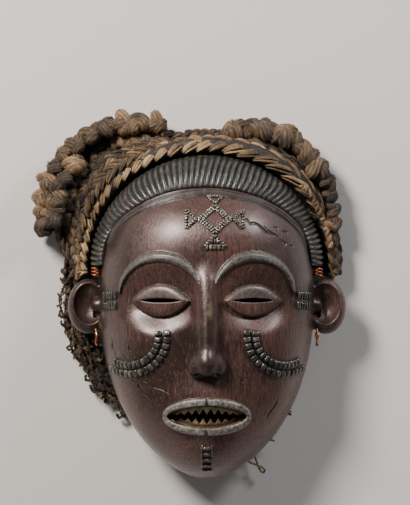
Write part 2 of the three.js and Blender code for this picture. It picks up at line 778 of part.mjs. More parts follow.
function buildHead() {
  const head = new THREE.Group();
  const wood = union([headLump(14, 16, 3 * GAP, -1), headband(3 * GAP), earShell(-1, GAP), earShell(1, GAP)]);
  const bed = plaitBed();
  const hair = wood.add(capArch(2 * GAP)).add(bed);
  const place = (name, shape, clearOf, look) => head.add(named(name, largest(shape.subtract(clearOf)), look));
  head.add(named("wooden_mask", woodenMask(), WOOD));
  place("hair_cap", capArch(), wood.add(bed), FIBRE);
  place("front_plait", frontPlait(), wood, FIBRE);
  place("knotted_braid_left", knottedBraid(LOBE_LEFT, 76, 194), hair, FIBRE);
  place("knotted_braid_right", knottedBraid(LOBE_RIGHT, 104, -14), hair, FIBRE);
  place("side_fringe", sideFringe(), hair, FIBRE);
  for (const [side, sign] of MIRRORED) {
    head.add(named("ear_wire_" + side, earWire(sign), COPPER));
    head.add(named("temple_wire_" + side, templeWire(sign), COPPER));
  }
  place("jaw_knot_upper", jawKnot(-0.63 * EYES_TO_CHIN, 2.4), wood, FIBRE);
  place("jaw_knot_lower", jawKnot(-0.78 * EYES_TO_CHIN, 2.8), wood, FIBRE);
  place("jaw_cord", jawCord(), wood, FIBRE);
  return head;
}

// The part's origin is under the middle of everything, on the surface that the mask lies on.
const head = buildHead();
const reach = new THREE.Box3().setFromObject(head, true).getCenter(vec(0, 0, 0));
head.position.set(-reach.x, -reach.y, 0);
const mask = new THREE.Group();
mask.add(head);

export default mask;
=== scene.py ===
"""Looks of a Chokwe mwana pwo mask: polished carved wood, a wig of plaited plant fibre, copper wire.

Lengths are millimetres in the head's own frame: x across the face, y from chin to crown, z out of
the face. The eyes lie on y = 0, the face's middle on x = 0 and the open back on z = 0.
"""
import math

import bpy
import numpy as np
import openvdb
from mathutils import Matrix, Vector


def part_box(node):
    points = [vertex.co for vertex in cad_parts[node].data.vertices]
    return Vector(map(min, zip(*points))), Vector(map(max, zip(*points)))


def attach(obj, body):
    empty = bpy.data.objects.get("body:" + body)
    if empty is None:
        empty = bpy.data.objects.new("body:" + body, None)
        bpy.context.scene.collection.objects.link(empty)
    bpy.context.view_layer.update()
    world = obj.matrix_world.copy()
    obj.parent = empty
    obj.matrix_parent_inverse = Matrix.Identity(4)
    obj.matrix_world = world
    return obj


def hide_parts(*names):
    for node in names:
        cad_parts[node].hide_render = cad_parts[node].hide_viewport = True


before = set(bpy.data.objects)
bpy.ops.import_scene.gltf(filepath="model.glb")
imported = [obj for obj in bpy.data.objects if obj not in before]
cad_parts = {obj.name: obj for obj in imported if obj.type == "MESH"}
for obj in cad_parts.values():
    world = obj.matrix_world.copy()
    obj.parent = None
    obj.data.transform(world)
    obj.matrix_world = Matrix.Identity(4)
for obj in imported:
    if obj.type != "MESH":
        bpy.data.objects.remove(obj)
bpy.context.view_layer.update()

# Wooden head, as in the solids
HALF = 77.5
TO_CHIN = 130.0
TO_CROWN = 97.0
WIDEST = 26.0
BULGE = 61.0
WALL = 8.0
RIM_TAPER = 0.95
EYE = 31.0
EYE_X = 1.05 * EYE
MOUTH_Y = -81.25
MOUTH_WIDE = 65.1
MOUTH_HIGH = 27.0
LIP = 6.5
MOUTH_RADII = (MOUTH_WIDE / 2 - LIP / 2, MOUTH_HIGH / 2 - LIP / 2)
GUM_HALF = (MOUTH_WIDE - 1.5 * LIP) / 2
TEETH = 9
TEETH_SHARE = 0.86
NOSE_BASE = -50.7
NOSE_HALF = 13.64
NOSE_TOP = 30.0
BROW_CENTRE = (1.08 * EYE, 4.0)
BROW_RADII = (28.5, 27.0)
BROW_HALF = 3.9
BROW_END = 164
LID_HALF = 20.5
LID_RISE = 11.5
SLIT_HALF = 14.5
SCAR_CENTRE = (0.715 * HALF, -24.0)
SCAR_RADIUS = 24.4
SCAR_ROW = 3.1
TEMPLE_X = 68.4
SIGN_CENTRE = np.array([5.5, 57.2])
LOBE_HOLE = (79.9, -20.0, 29.0)
LOBE_HOLE_RADIUS = 2.4
WIRE = 0.7
COIL = 2.6

# Grid on which the wood's surface is found, and the most faces it keeps
VOXEL = 0.65
BLOCK = 4
WOOD_FACES = 190000

# Headband
BAND_FOOT = 28.0
BAND_RISE = 76.0
BAND_WIDTH = 24.0
BAND_BULGE = 5.5
BAND_DROP = 21.0
BAND_START = -3
BAND_SWEEP = 186
RIDGES = 58

rng = np.random.default_rng(20)

wood_low, wood_high = (np.array(corner) * 1000 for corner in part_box("wooden_mask"))
SHIFT = np.array([(wood_low[0] + wood_high[0]) / 2, wood_low[1] + TO_CHIN, 0.0])


def to_row(points):
    """Head frame in millimetres to the row frame in metres."""
    return (np.asarray(points, float) + SHIFT) / 1000


def power(base, exponent):
    return np.maximum(base, 0.0) ** exponent


def swell(across, along):
    return np.maximum(0.0, 1 - across**2 - along**2) ** 2


def smooth(low, high, value):
    share = np.clip((value - low) / (high - low), 0, 1)
    return share * share * (3 - 2 * share)


def stack(*parts):
    return np.stack(np.broadcast_arrays(*parts), -1)


def unit(vectors):
    return vectors / (np.linalg.norm(vectors, axis=-1, keepdims=True) + 1e-9)


def cosd(degrees):
    return np.cos(np.radians(degrees))


def sind(degrees):
    return np.sin(np.radians(degrees))


def lengths(path):
    """How far along a path each of its points lies."""
    return np.concatenate([[0], np.cumsum(np.linalg.norm(np.diff(path, axis=0), axis=1))])


def half_width(y):
    reach = np.where(y > 0, TO_CROWN, TO_CHIN)
    share = np.minimum(1, np.abs(y) / reach)
    upper = power(1 - share**2.3, 1 / 2.2)
    lower = power(1 - share**2.2, 1 / 1.7)
    return HALF * np.where(y > 0, upper, lower)


def broad_forms(x, y):
    side = np.abs(x)
    return (
        -8.5 * swell((side - BROW_CENTRE[0]) / 33, (y - 1) / 27)
        + 3 * swell(x / 62, (y - 52) / 36)
        + 3 * swell((side - 46) / 26, (y + 33) / 28)
        + 8 * swell(x / 46, (y - MOUTH_Y) / 36)
        + 6 * swell(x / 34, (y + 0.87 * TO_CHIN) / 24)
    )


def skin_height(x, y):
    reach = np.where(y > 0, TO_CROWN, TO_CHIN)
    along = np.minimum(1, np.abs(y) / reach)
    across = np.minimum(1, np.abs(x) / np.maximum(half_width(y), 1e-6))
    rise = BULGE * np.sqrt(1 - along ** np.where(y > 0, 2.3, 2.6))
    return WIDEST + rise * power(1 - across**2.3, 1 / 2.2) + broad_forms(x, y)


def skin_normal(x, y):
    step = 0.5
    across = skin_height(x - step, y) - skin_height(x + step, y)
    along = skin_height(x, y - step) - skin_height(x, y + step)
    return unit(stack(across, along, 2 * step))


def on_skin(x, y, lift=0.0):
    x, y = np.broadcast_arrays(np.asarray(x, float), np.asarray(y, float))
    return stack(x, y, skin_height(x, y)) + skin_normal(x, y) * np.asarray(lift, float)[..., None]


def head_gauge(x, y, z, grow):
    """0 on the smooth head's surface, negative inside, growing outward."""
    rise = z - broad_forms(x, y)
    taper = 1 - (1 - RIM_TAPER) * np.clip((WIDEST - rise) / WIDEST, 0, 1.3)
    upper = y > 0
    reach = np.where(upper, TO_CROWN, TO_CHIN) + grow
    along = np.abs(y) / taper / reach
    across = np.abs(x) / taper / (HALF + grow)
    height = np.maximum(rise - WIDEST, 0) / (BULGE + grow)
    q = np.maximum(1 - along**2.3, 1e-3)
    top = height**2.2 * q**-0.1 + across**2.3 * q**-0.045 + along**2.3
    q = np.maximum(1 - along**2.2, 1e-3)
    steep = np.maximum(1 - along**2.6, 1e-3)
    low = height**2.2 * q * steep**-1.1 + across**2.3 * q**-0.353 + along**2.2
    return np.where(upper, top, low) ** (1 / 2.25) - 1


def head_distance(x, y, z, grow=0.0):
    step = 0.5
    here = head_gauge(x, y, z, grow)
    shifts = ((step, 0, 0), (0, step, 0), (0, 0, step))
    slope = np.sqrt(sum((head_gauge(x + a, y + b, z + c, grow) - here) ** 2 for a, b, c in shifts))
    return here * step / np.maximum(slope, 1e-5)


def ellipsoid_distance(point, centre, radii):
    local = [(point[k] - centre[k]) / radii[k] for k in range(3)]
    size = np.sqrt(sum(v * v for v in local))
    slope = np.sqrt(sum((v / radii[k]) ** 2 for k, v in enumerate(local)))
    return (size - 1) * size / np.maximum(slope, 1e-6)


def melt(first, second, radius):
    """Union of two distances with a rounded joint."""
    share = np.clip(0.5 + 0.5 * (second - first) / radius, 0, 1)
    return second + (first - second) * share - radius * share * (1 - share)


def carve(body, cut, radius):
    """The body without the cut, with a rounded edge."""
    return -melt(-body, cut, radius)


def arc_place(x, y, centre, radii):
    """Distance from an ellipse's line and the angle round it, seen from the front."""
    dx, dy = (x - centre[0]) / radii[0], (y - centre[1]) / radii[1]
    size = np.sqrt(dx * dx + dy * dy) + 1e-9
    slope = np.sqrt((dx / radii[0]) ** 2 + (dy / radii[1]) ** 2) / size + 1e-9
    return (size - 1) / slope, np.degrees(np.arctan2(dy, dx))


def brow_cover(x, y):
    """How far inside the raised brow a place is: 1 on its middle line, 0 at the edge."""
    off, angle = arc_place(np.abs(x), y, BROW_CENTRE, BROW_RADII)
    angle = np.where(angle < -90, angle + 360, angle)
    share = np.clip((BROW_END - angle) / BROW_END, 0, 1)
    taper = power(np.minimum(1, share / 0.3), 0.6) * power(np.minimum(1, (1 - share) / 0.5), 0.7)
    half = BROW_HALF * taper + 1e-3
    inside = (angle > 0) & (angle < BROW_END)
    return np.where(inside, 1 - np.abs(off) / half, -1.0), off / half


def lid_place(x, y):
    across = np.minimum(1, np.abs(np.abs(x) - EYE_X) / LID_HALF)
    half = LID_RISE * (1 - across**2.2) + 1e-6
    return across, y / half


def relief(x, y):
    """Height of the carved details over the skin, seen from the front."""
    cover, side = brow_cover(x, y)
    height = 2.6 * power(np.clip(cover, 0, 1) * 1.6, 0.55).clip(0, 1) * (1 - 0.12 * side)
    across, share = lid_place(x, y)
    dome = 1.2 + 5.8 * np.sqrt(np.clip((1 - across**2) * (1 - share**2), 0, 1))
    height = np.maximum(height, np.where((np.abs(share) < 1) & (across < 1), dome, 0))
    off, _ = arc_place(x, y, (0, MOUTH_Y), MOUTH_RADII)
    half = 0.5 * lip_width(x, y)
    lip = 3.6 * power(1 - np.abs(off / half) ** 5, 0.5) * (1 + 0.05 * off)
    return np.maximum(height, lip * smooth(0.5, 1.5, np.abs(x)))


def lip_width(x, y):
    turn = np.arctan2((y - MOUTH_Y) / MOUTH_HIGH, x / MOUTH_WIDE)
    return LIP * (0.55 + 0.45 * np.abs(np.sin(turn)))


CUT_CELL = 0.2
CUT_LOW = (-90, -110)
CUT_DEPTH = 0.55

# Old cuts and scratches, each from x, y to x, y and as wide as the last number
CUTS = (
    (25.0, 58.0, 33.0, 53.5, 1.5),
    (31.5, 55.0, 48.5, 45.2, 1.9),
    (40.0, 52.5, 50.0, 44.0, 1.0),
    (54.0, 49.5, 57.5, 47.0, 1.3),
    (53.6, 42.5, 55.4, 38.6, 1.7),
    (58.8, 40.6, 60.4, 37.4, 1.6),
    (47.6, 52.4, 50.0, 50.0, 1.0),
    (-51.5, -56.0, -46.0, -62.5, 1.9),
    (-47.5, -61.0, -37.0, -73.0, 1.3),
    (-46.2, -55.0, -39.0, -60.2, 1.0),
    (-39.8, -59.6, -25.0, -65.0, 0.8),
    (-56.6, -30.0, -52.4, -36.6, 1.1),
    (-68.0, -27.5, -65.4, -38.6, 0.9),
    (-59.0, -38.0, -57.0, -42.0, 0.8),
    (22.0, -52.0, 26.5, -60.0, 0.7),
    (50.0, -70.0, 42.0, -84.0, 0.9),
)


def cut_map():
    """How deep in an old cut each place of a fine grid is, from 0 to 1, seen from the front."""
    x, y = np.meshgrid(*(np.arange(low, 90, CUT_CELL) for low in CUT_LOW), indexing="ij")
    depth = np.zeros_like(x)
    for x0, y0, x1, y1, wide in CUTS:
        run_x, run_y = x1 - x0, y1 - y0
        size = math.hypot(run_x, run_y)
        share = np.clip(((x - x0) * run_x + (y - y0) * run_y) / size**2, 0, 1)
        bend = 0.5 * wide * np.sin(7 * share + x0) / size
        off_x = x - x0 - run_x * share + bend * run_y
        off_y = y - y0 - run_y * share - bend * run_x
        half = 0.5 * wide * (0.35 + 0.65 * np.sin(np.pi * np.clip(share, 0.05, 0.95)))
        depth = np.maximum(depth, np.clip(1.25 - np.hypot(off_x, off_y) / half, 0, 1))
    return depth


CUT_DEPTHS = cut_map()


def cuts(x, y):
    across = np.clip(np.rint((x - CUT_LOW[0]) / CUT_CELL), 0, CUT_DEPTHS.shape[0] - 1).astype(int)
    along = np.clip(np.rint((y - CUT_LOW[1]) / CUT_CELL), 0, CUT_DEPTHS.shape[1] - 1).astype(int)
    return CUT_DEPTHS[across, along]


def wood_distance(x, y, z):
    """Signed distance to the carved wood, close to true near its surface."""
    side = np.abs(x)
    place = (side, y, z)
    body = head_distance(x, y, z) - (relief(x, y) - CUT_DEPTH * cuts(x, y)) * smooth(24, 32, z)
    ridge = np.clip((NOSE_TOP - y) / (NOSE_TOP - NOSE_BASE), 0, 1)
    half = 4.6 + (NOSE_HALF * 0.58 - 4.6) * ridge**1.3
    raise_ = 17.0 * ridge**0.85
    base = skin_height(np.zeros_like(y), y)
    foot = (1.9 - 0.45 * ridge) * half
    flank = np.clip(1 - (side / foot) ** 2, -0.6, 1)
    sink = 2.0 + 3.0 * smooth(14, 32, y)
    crest = base - sink + (raise_ + 2.0) * np.sign(flank) * np.abs(flank) ** 0.85
    slope = 1 + raise_ / (1.5 * half)
    nose = (z - crest) / slope
    nose = np.maximum(nose, side - 1.12 * foot)
    nose = np.maximum(nose, np.maximum(NOSE_BASE + 7.5 - y, y - 34))
    nose = np.maximum(nose, base - 12 - z)
    wing_z = skin_height(8.5, NOSE_BASE + 5)
    tip = ellipsoid_distance(place, (0.0, NOSE_BASE + 6.8, wing_z + 8.4), (7.6, 8.4, 8.6))
    nose = melt(nose, tip, 5.0)
    wing = ellipsoid_distance(place, (8.3, NOSE_BASE + 5.8, wing_z + 3.4), (5.6, 7.4, 7.2))
    nose = melt(nose, wing, 5.0)
    body = melt(body, nose, 3.0)
    nostril = ellipsoid_distance(place, (5.6, NOSE_BASE - 0.8, wing_z + 5.6), (2.6, 3.4, 4.4))
    body = carve(body, nostril, 0.9)
    body = melt(body, ear_distance(place), 2.5)
    body = cut_mouth(body, x, y, z)
    body = np.maximum(body, -head_distance(x, y, z, -WALL))
    body = np.maximum(body, -lid_slit(side, y))
    hole = np.hypot(side - LOBE_HOLE[0], z - LOBE_HOLE[2]) - LOBE_HOLE_RADIUS
    body = np.maximum(body, -np.maximum(hole, np.abs(y - LOBE_HOLE[1]) - 14))
    return np.maximum(body, -z)


def ear_distance(place):
    shell = ellipsoid_distance(place, (85.9, -5.0, 29.0), (15.0, 20.0, 10.0))
    bowl = ellipsoid_distance(place, (85.0, -2.6, 38.0), (11.4, 15.4, 10.0))
    tragus = ellipsoid_distance(place, (78.2, -4.0, 33.0), (5.6, 5.4, 5.6))
    return melt(carve(shell, bowl, 1.6), tragus, 1.5)


def lid_slit(side, y):
    across = np.abs(side - EYE_X) / SLIT_HALF
    half = 1.5 * (1 - np.minimum(1, across) ** 2.2)
    return np.where(across < 1, np.abs(y - 0.4) - half, 2.0)


def tooth_edges(x):
    """Upper and lower edge of the way between the teeth, above the mouth's middle."""
    wide = 2 * GUM_HALF * TEETH_SHARE
    share = np.clip(x / wide + 0.5, 0, 1)
    opening = 7.5 * (1 - np.abs(2 * share - 1) ** 2.2) * TEETH_SHARE
    zigzag = np.abs((share * TEETH) % 1 - 0.5) * 2
    upper = (0.12 + 0.68 * zigzag) * opening + 0.4
    lower = (-0.78 + 0.68 * zigzag) * opening - 0.4
    return upper, lower, np.abs(x) < wide / 2


def cut_mouth(body, x, y, z):
    share = np.minimum(1, np.abs(x) / GUM_HALF)
    high = 8.4 * (1 - share**2.2)
    gum = np.where(np.abs(x) < GUM_HALF, np.abs(y - MOUTH_Y) - high, 3.0)
    recess = np.maximum(gum, skin_height(x, y) - 5.0 - z)
    body = carve(body, recess, 0.6)
    upper, lower, within = tooth_edges(x)
    along = y - MOUTH_Y
    gap = np.maximum(along - upper, lower - along) * 0.55
    return np.maximum(body, -np.where(within, gap, 3.0))


def wood_surface():
    """Vertices and faces of the carved wood's surface, from its distance on a fine grid."""
    low = np.array([-103.0, -133.0, -3.0])
    cells = [int(n) for n in np.ceil(np.array([206, 234, 110]) / (VOXEL * BLOCK))]
    axes = [low[k] + (np.arange(cells[k]) + 0.5) * VOXEL * BLOCK for k in range(3)]
    coarse = wood_distance(*np.meshgrid(*axes, indexing="ij"))
    dense = np.clip(coarse, -2, 2).astype(np.float32)
    for k in range(3):
        dense = np.repeat(dense, BLOCK, axis=k)
    near = np.argwhere(np.abs(coarse) < 3.4 + 0.9 * VOXEL * BLOCK)
    offsets = np.stack(np.meshgrid(*[np.arange(BLOCK)] * 3, indexing="ij"), -1).reshape(-1, 3)
    index = (near[:, None, :] * BLOCK + offsets[None]).reshape(-1, 3)
    place = low + (index + 0.5) * VOXEL
    dense[index[:, 0], index[:, 1], index[:, 2]] = wood_distance(*place.T)
    grid = openvdb.FloatGrid(2.0)
    grid.copyFromArray(dense)
    points, triangles, quads = grid.convertToPolygons(0.0, 0.0)
    return low + (points + 0.5) * VOXEL, triangles, quads


POLES = [[0, 0, 1], [0, 0, -1]]


def ball(rows, columns):
    """Polar angles and turns of a ball's grid, and its faces, which end at the two poles."""
    polar = np.linspace(0, np.pi, rows + 1)[1:-1]
    turn = np.arange(columns) * 2 * np.pi / columns
    polar, turn = np.meshgrid(polar, turn, indexing="ij")
    band = np.arange(rows - 2)[:, None] * columns
    here = np.arange(columns)
    beside = (here + 1) % columns
    quads = stack(band + here, band + columns + here, band + columns + beside, band + beside)
    last, count = (rows - 2) * columns, (rows - 1) * columns
    ends = stack(count, here, beside), stack(count + 1, last + beside, last + here)
    return polar, turn, quads, np.concatenate(ends)


class Strands:
    """Collects swept cords and lumps into one mesh, with a tone and a place along and around each."""

    def __init__(self):
        self.points, self.quads, self.triangles = [], [], []
        self.values = {"tone": [], "along": [], "around": []}
        self.count = 0

    def add(self, points, quads, triangles, tone, along, around):
        self.points.append(points)
        self.quads.append(np.asarray(quads, int).reshape(-1, 4) + self.count)
        self.triangles.append(np.asarray(triangles, int).reshape(-1, 3) + self.count)
        for rows, value in zip(self.values.values(), (tone, along, around)):
            rows.append(np.broadcast_to(value, (len(points),)))
        self.count += len(points)

    def sweep(self, path, radius, sides=8, up=(0, 0, 1), flat=1.0, closed=False, tone=0.5):
        """A cord along a path; flat is its height over its width."""
        path = np.asarray(path, float)
        steps = len(path)
        if closed:
            tangent = np.roll(path, -1, 0) - np.roll(path, 1, 0)
        else:
            tangent = np.gradient(path, axis=0)
        tangent = unit(tangent)
        side = unit(np.cross(tangent, np.broadcast_to(up, path.shape)))
        rise = np.cross(side, tangent)
        radius = np.broadcast_to(radius, (steps,))[:, None, None]
        flat = np.broadcast_to(flat, (steps,))[:, None, None]
        turn = np.arange(sides) * 2 * np.pi / sides
        ring = side[:, None] * np.cos(turn)[None, :, None] * radius
        ring = ring + rise[:, None] * np.sin(turn)[None, :, None] * radius * flat
        points = (path[:, None] + ring).reshape(-1, 3)
        first = np.arange(steps if closed else steps - 1)[:, None] * sides
        second = (first + sides) % (steps * sides)
        here = np.arange(sides)[None]
        there = (here + 1) % sides
        quads = stack(first + here, first + there, second + there, second + here)
        length = lengths(path)
        along = np.repeat(length, sides)
        around = np.tile(turn / (2 * np.pi), steps)
        triangles = np.zeros((0, 3), int)
        if not closed:
            points = np.concatenate([points, path[:1], path[-1:]])
            along = np.concatenate([along, [0, length[-1]]])
            around = np.concatenate([around, [0, 0]])
            last, count = (steps - 1) * sides, steps * sides
            near, far = stack(count, there, here), stack(count + 1, last + here, last + there)
            triangles = np.concatenate([near, far], 1)
        self.add(points, quads, triangles, tone, along, around)

    def lump(self, centre, axes, radii, columns, rows, tone):
        """A folded bulge round the last of three unit axes, along which its fibres lie side by side, with
        painted shade in the grooves between its folds.
        """
        polar, turn, quads, triangles = ball(rows, columns)
        first, second, third = rng.uniform(0, 2 * np.pi, 3)
        fold = 2.0 * np.cos(polar) + 0.25 * np.sin(turn + first) + 0.1 * np.sin(3 * turn + second)
        fold = np.abs(np.sin(np.pi * (fold + third / 6)))
        swollen = 1 + 0.05 * np.sin(2 * turn + third) - 0.2 * (1 - fold**0.6) * np.sin(polar)
        wide = swollen * np.sin(polar)
        sphere = stack(wide * np.cos(turn), wide * np.sin(turn), np.cos(polar)).reshape(-1, 3)
        sphere = np.concatenate([sphere, POLES])
        points = np.asarray(centre) + (sphere * radii) @ np.asarray(axes)
        around = 0.3 * (sphere[:, 2] * radii[2] + 0.35 * sphere[:, 0] * radii[0]) + first
        # Tone darker in the grooves between the folds: painted shade
        shade = 0.3 * (np.concatenate([fold.ravel(), [0.5, 0.5]]) - 0.7)
        self.add(points, quads, triangles, tone + shade, sphere[:, 0] * radii[0], around)

    def block(self, centre, axes, radii, tone):
        """A raised stud with rounded corners."""
        polar, turn, quads, triangles = ball(8, 16)
        wide = np.sin(polar)
        corner = stack(wide * np.cos(turn), wide * np.sin(turn), np.cos(polar)).reshape(-1, 3)
        corner = np.concatenate([corner, POLES])
        corner = np.sign(corner) * np.abs(corner) ** 0.42
        points = np.asarray(centre) + (corner * radii) @ np.asarray(axes)
        self.add(points, quads, triangles, tone, 0, 0)

    def finish(self, name, material, node):
        values = {label: np.concatenate(rows) for label, rows in self.values.items()}
        points = np.concatenate(self.points)
        points[:, 2] = np.maximum(points[:, 2], 0.1)
        faces = (np.concatenate(self.triangles), np.concatenate(self.quads))
        finish_piece(make_piece(name, points, faces, material, values), node)


def mark_points(mesh, values):
    """Smooth shading, and a value stored at each point under each label."""
    mesh.polygons.foreach_set("use_smooth", np.ones(len(mesh.polygons), bool))
    for label, array in values.items():
        layer = mesh.attributes.new(label, "FLOAT", "POINT")
        layer.data.foreach_set("value", np.asarray(array, np.float32))


def make_piece(name, points, faces, material, values=None):
    """A smooth-shaded mesh object from points, (triangles, quads) and values for each point."""
    triangles, quads = faces
    mesh = bpy.data.meshes.new(name)
    mesh.vertices.add(len(points))
    mesh.vertices.foreach_set("co", to_row(points).astype(np.float32).ravel())
    corners = np.concatenate([triangles.ravel(), quads.ravel()]).astype(np.int32)
    starts = np.concatenate(
        [np.arange(len(triangles)) * 3, len(triangles) * 3 + np.arange(len(quads)) * 4]
    ).astype(np.int32)
    mesh.loops.add(len(corners))
    mesh.loops.foreach_set("vertex_index", corners)
    mesh.polygons.add(len(starts))
    mesh.polygons.foreach_set("loop_start", starts)
    mesh.update(calc_edges=True)
    mesh.validate()
    mark_points(mesh, values or {})
    mesh.materials.append(material)
    piece = bpy.data.objects.new(name, mesh)
    bpy.context.scene.collection.objects.link(piece)
    return piece


def finish_piece(piece, node):
    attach(piece, "root")
    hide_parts(node)


class Nodes:
    """Short names for building a material's node tree."""

    def __init__(self, name):
        self.material = bpy.data.materials.new(name)
        self.material.use_nodes = True
        self.tree = self.material.node_tree
        self.shader = self.tree.nodes["Principled BSDF"]

    def node(self, kind, **settings):
        node = self.tree.nodes.new(kind)
        for key, value in settings.items():
            setattr(node, key, value)
        return node

    def put(self, socket, value):
        if isinstance(value, bpy.types.NodeSocket):
            self.tree.links.new(value, socket)
        else:
            socket.default_value = value

    def set(self, **values):
        for key, value in values.items():
            self.put(self.shader.inputs[key.replace("_", " ")], value)

    def value(self, label):
        """A value stored at each point of the mesh."""
        return self.node("ShaderNodeAttribute", attribute_name=label).outputs["Fac"]

    def place(self, stretch=(1, 1, 1), turn=(0, 0, 0)):
        """Object coordinates, turned and then stretched."""
        vector = self.node("ShaderNodeTexCoord").outputs["Object"]
        for setting, value in (("Rotation", turn), ("Scale", stretch)):
            mapping = self.node("ShaderNodeMapping")
            self.put(mapping.inputs["Vector"], vector)
            mapping.inputs[setting].default_value = value
            vector = mapping.outputs["Vector"]
        return vector

    def noise(self, scale, detail=3.0, vector=None, rough=0.55):
        node = self.node("ShaderNodeTexNoise")
        self.put(node.inputs["Vector"], vector if vector is not None else self.place())
        node.inputs["Scale"].default_value = scale
        node.inputs["Detail"].default_value = detail
        node.inputs["Roughness"].default_value = rough
        return node.outputs["Fac"]

    def cells(self, scale):
        node = self.node("ShaderNodeTexVoronoi")
        self.put(node.inputs["Vector"], self.place())
        node.inputs["Scale"].default_value = scale
        return node.outputs["Distance"]

    def math(self, operation, first, second, clamp=False):
        node = self.node("ShaderNodeMath", operation=operation, use_clamp=clamp)
        self.put(node.inputs[0], first)
        self.put(node.inputs[1], second)
        return node.outputs[0]

    def times(self, first, second):
        return self.math("MULTIPLY", first, second)

    def plus(self, first, second, clamp=False):
        return self.math("ADD", first, second, clamp)

    def minus(self, first, second):
        return self.math("SUBTRACT", first, second)

    def most(self, first, second):
        return self.math("MAXIMUM", first, second)

    def span(self, value, low, high, to_low=0.0, to_high=1.0):
        """The value's range from low to high, spread smoothly over another range."""
        node = self.node("ShaderNodeMapRange", interpolation_type="SMOOTHSTEP")
        for socket, item in zip(node.inputs, (value, low, high, to_low, to_high)):
            self.put(socket, item)
        return node.outputs[0]

    def mix(self, share, first, second):
        node = self.node("ShaderNodeMix", data_type="RGBA")
        self.put(node.inputs["Factor"], share)
        colors = [socket for socket in node.inputs if socket.type == "RGBA"]
        for socket, color in zip(colors, (first, second)):
            self.put(socket, (*color, 1.0) if isinstance(color, tuple) else color)
        return [out for out in node.outputs if out.type == "RGBA"][0]

    def ramp(self, value, *stops):
        node = self.node("ShaderNodeValToRGB")
        self.put(node.inputs["Fac"], value)
        elements = node.color_ramp.elements
        while len(elements) < len(stops):
            elements.new(0.5)
        for element, (position, color) in zip(elements, stops):
            element.position = position
            element.color = (*color, 1)
        return node.outputs["Color"]

    def bump(self, height, distance, below=None):
        node = self.node("ShaderNodeBump")
        node.inputs["Strength"].default_value = 1.0
        node.inputs["Distance"].default_value = distance
        self.put(node.inputs["Height"], height)
        if below is not None:
            self.put(node.inputs["Normal"], below)
        return node.outputs["Normal"]


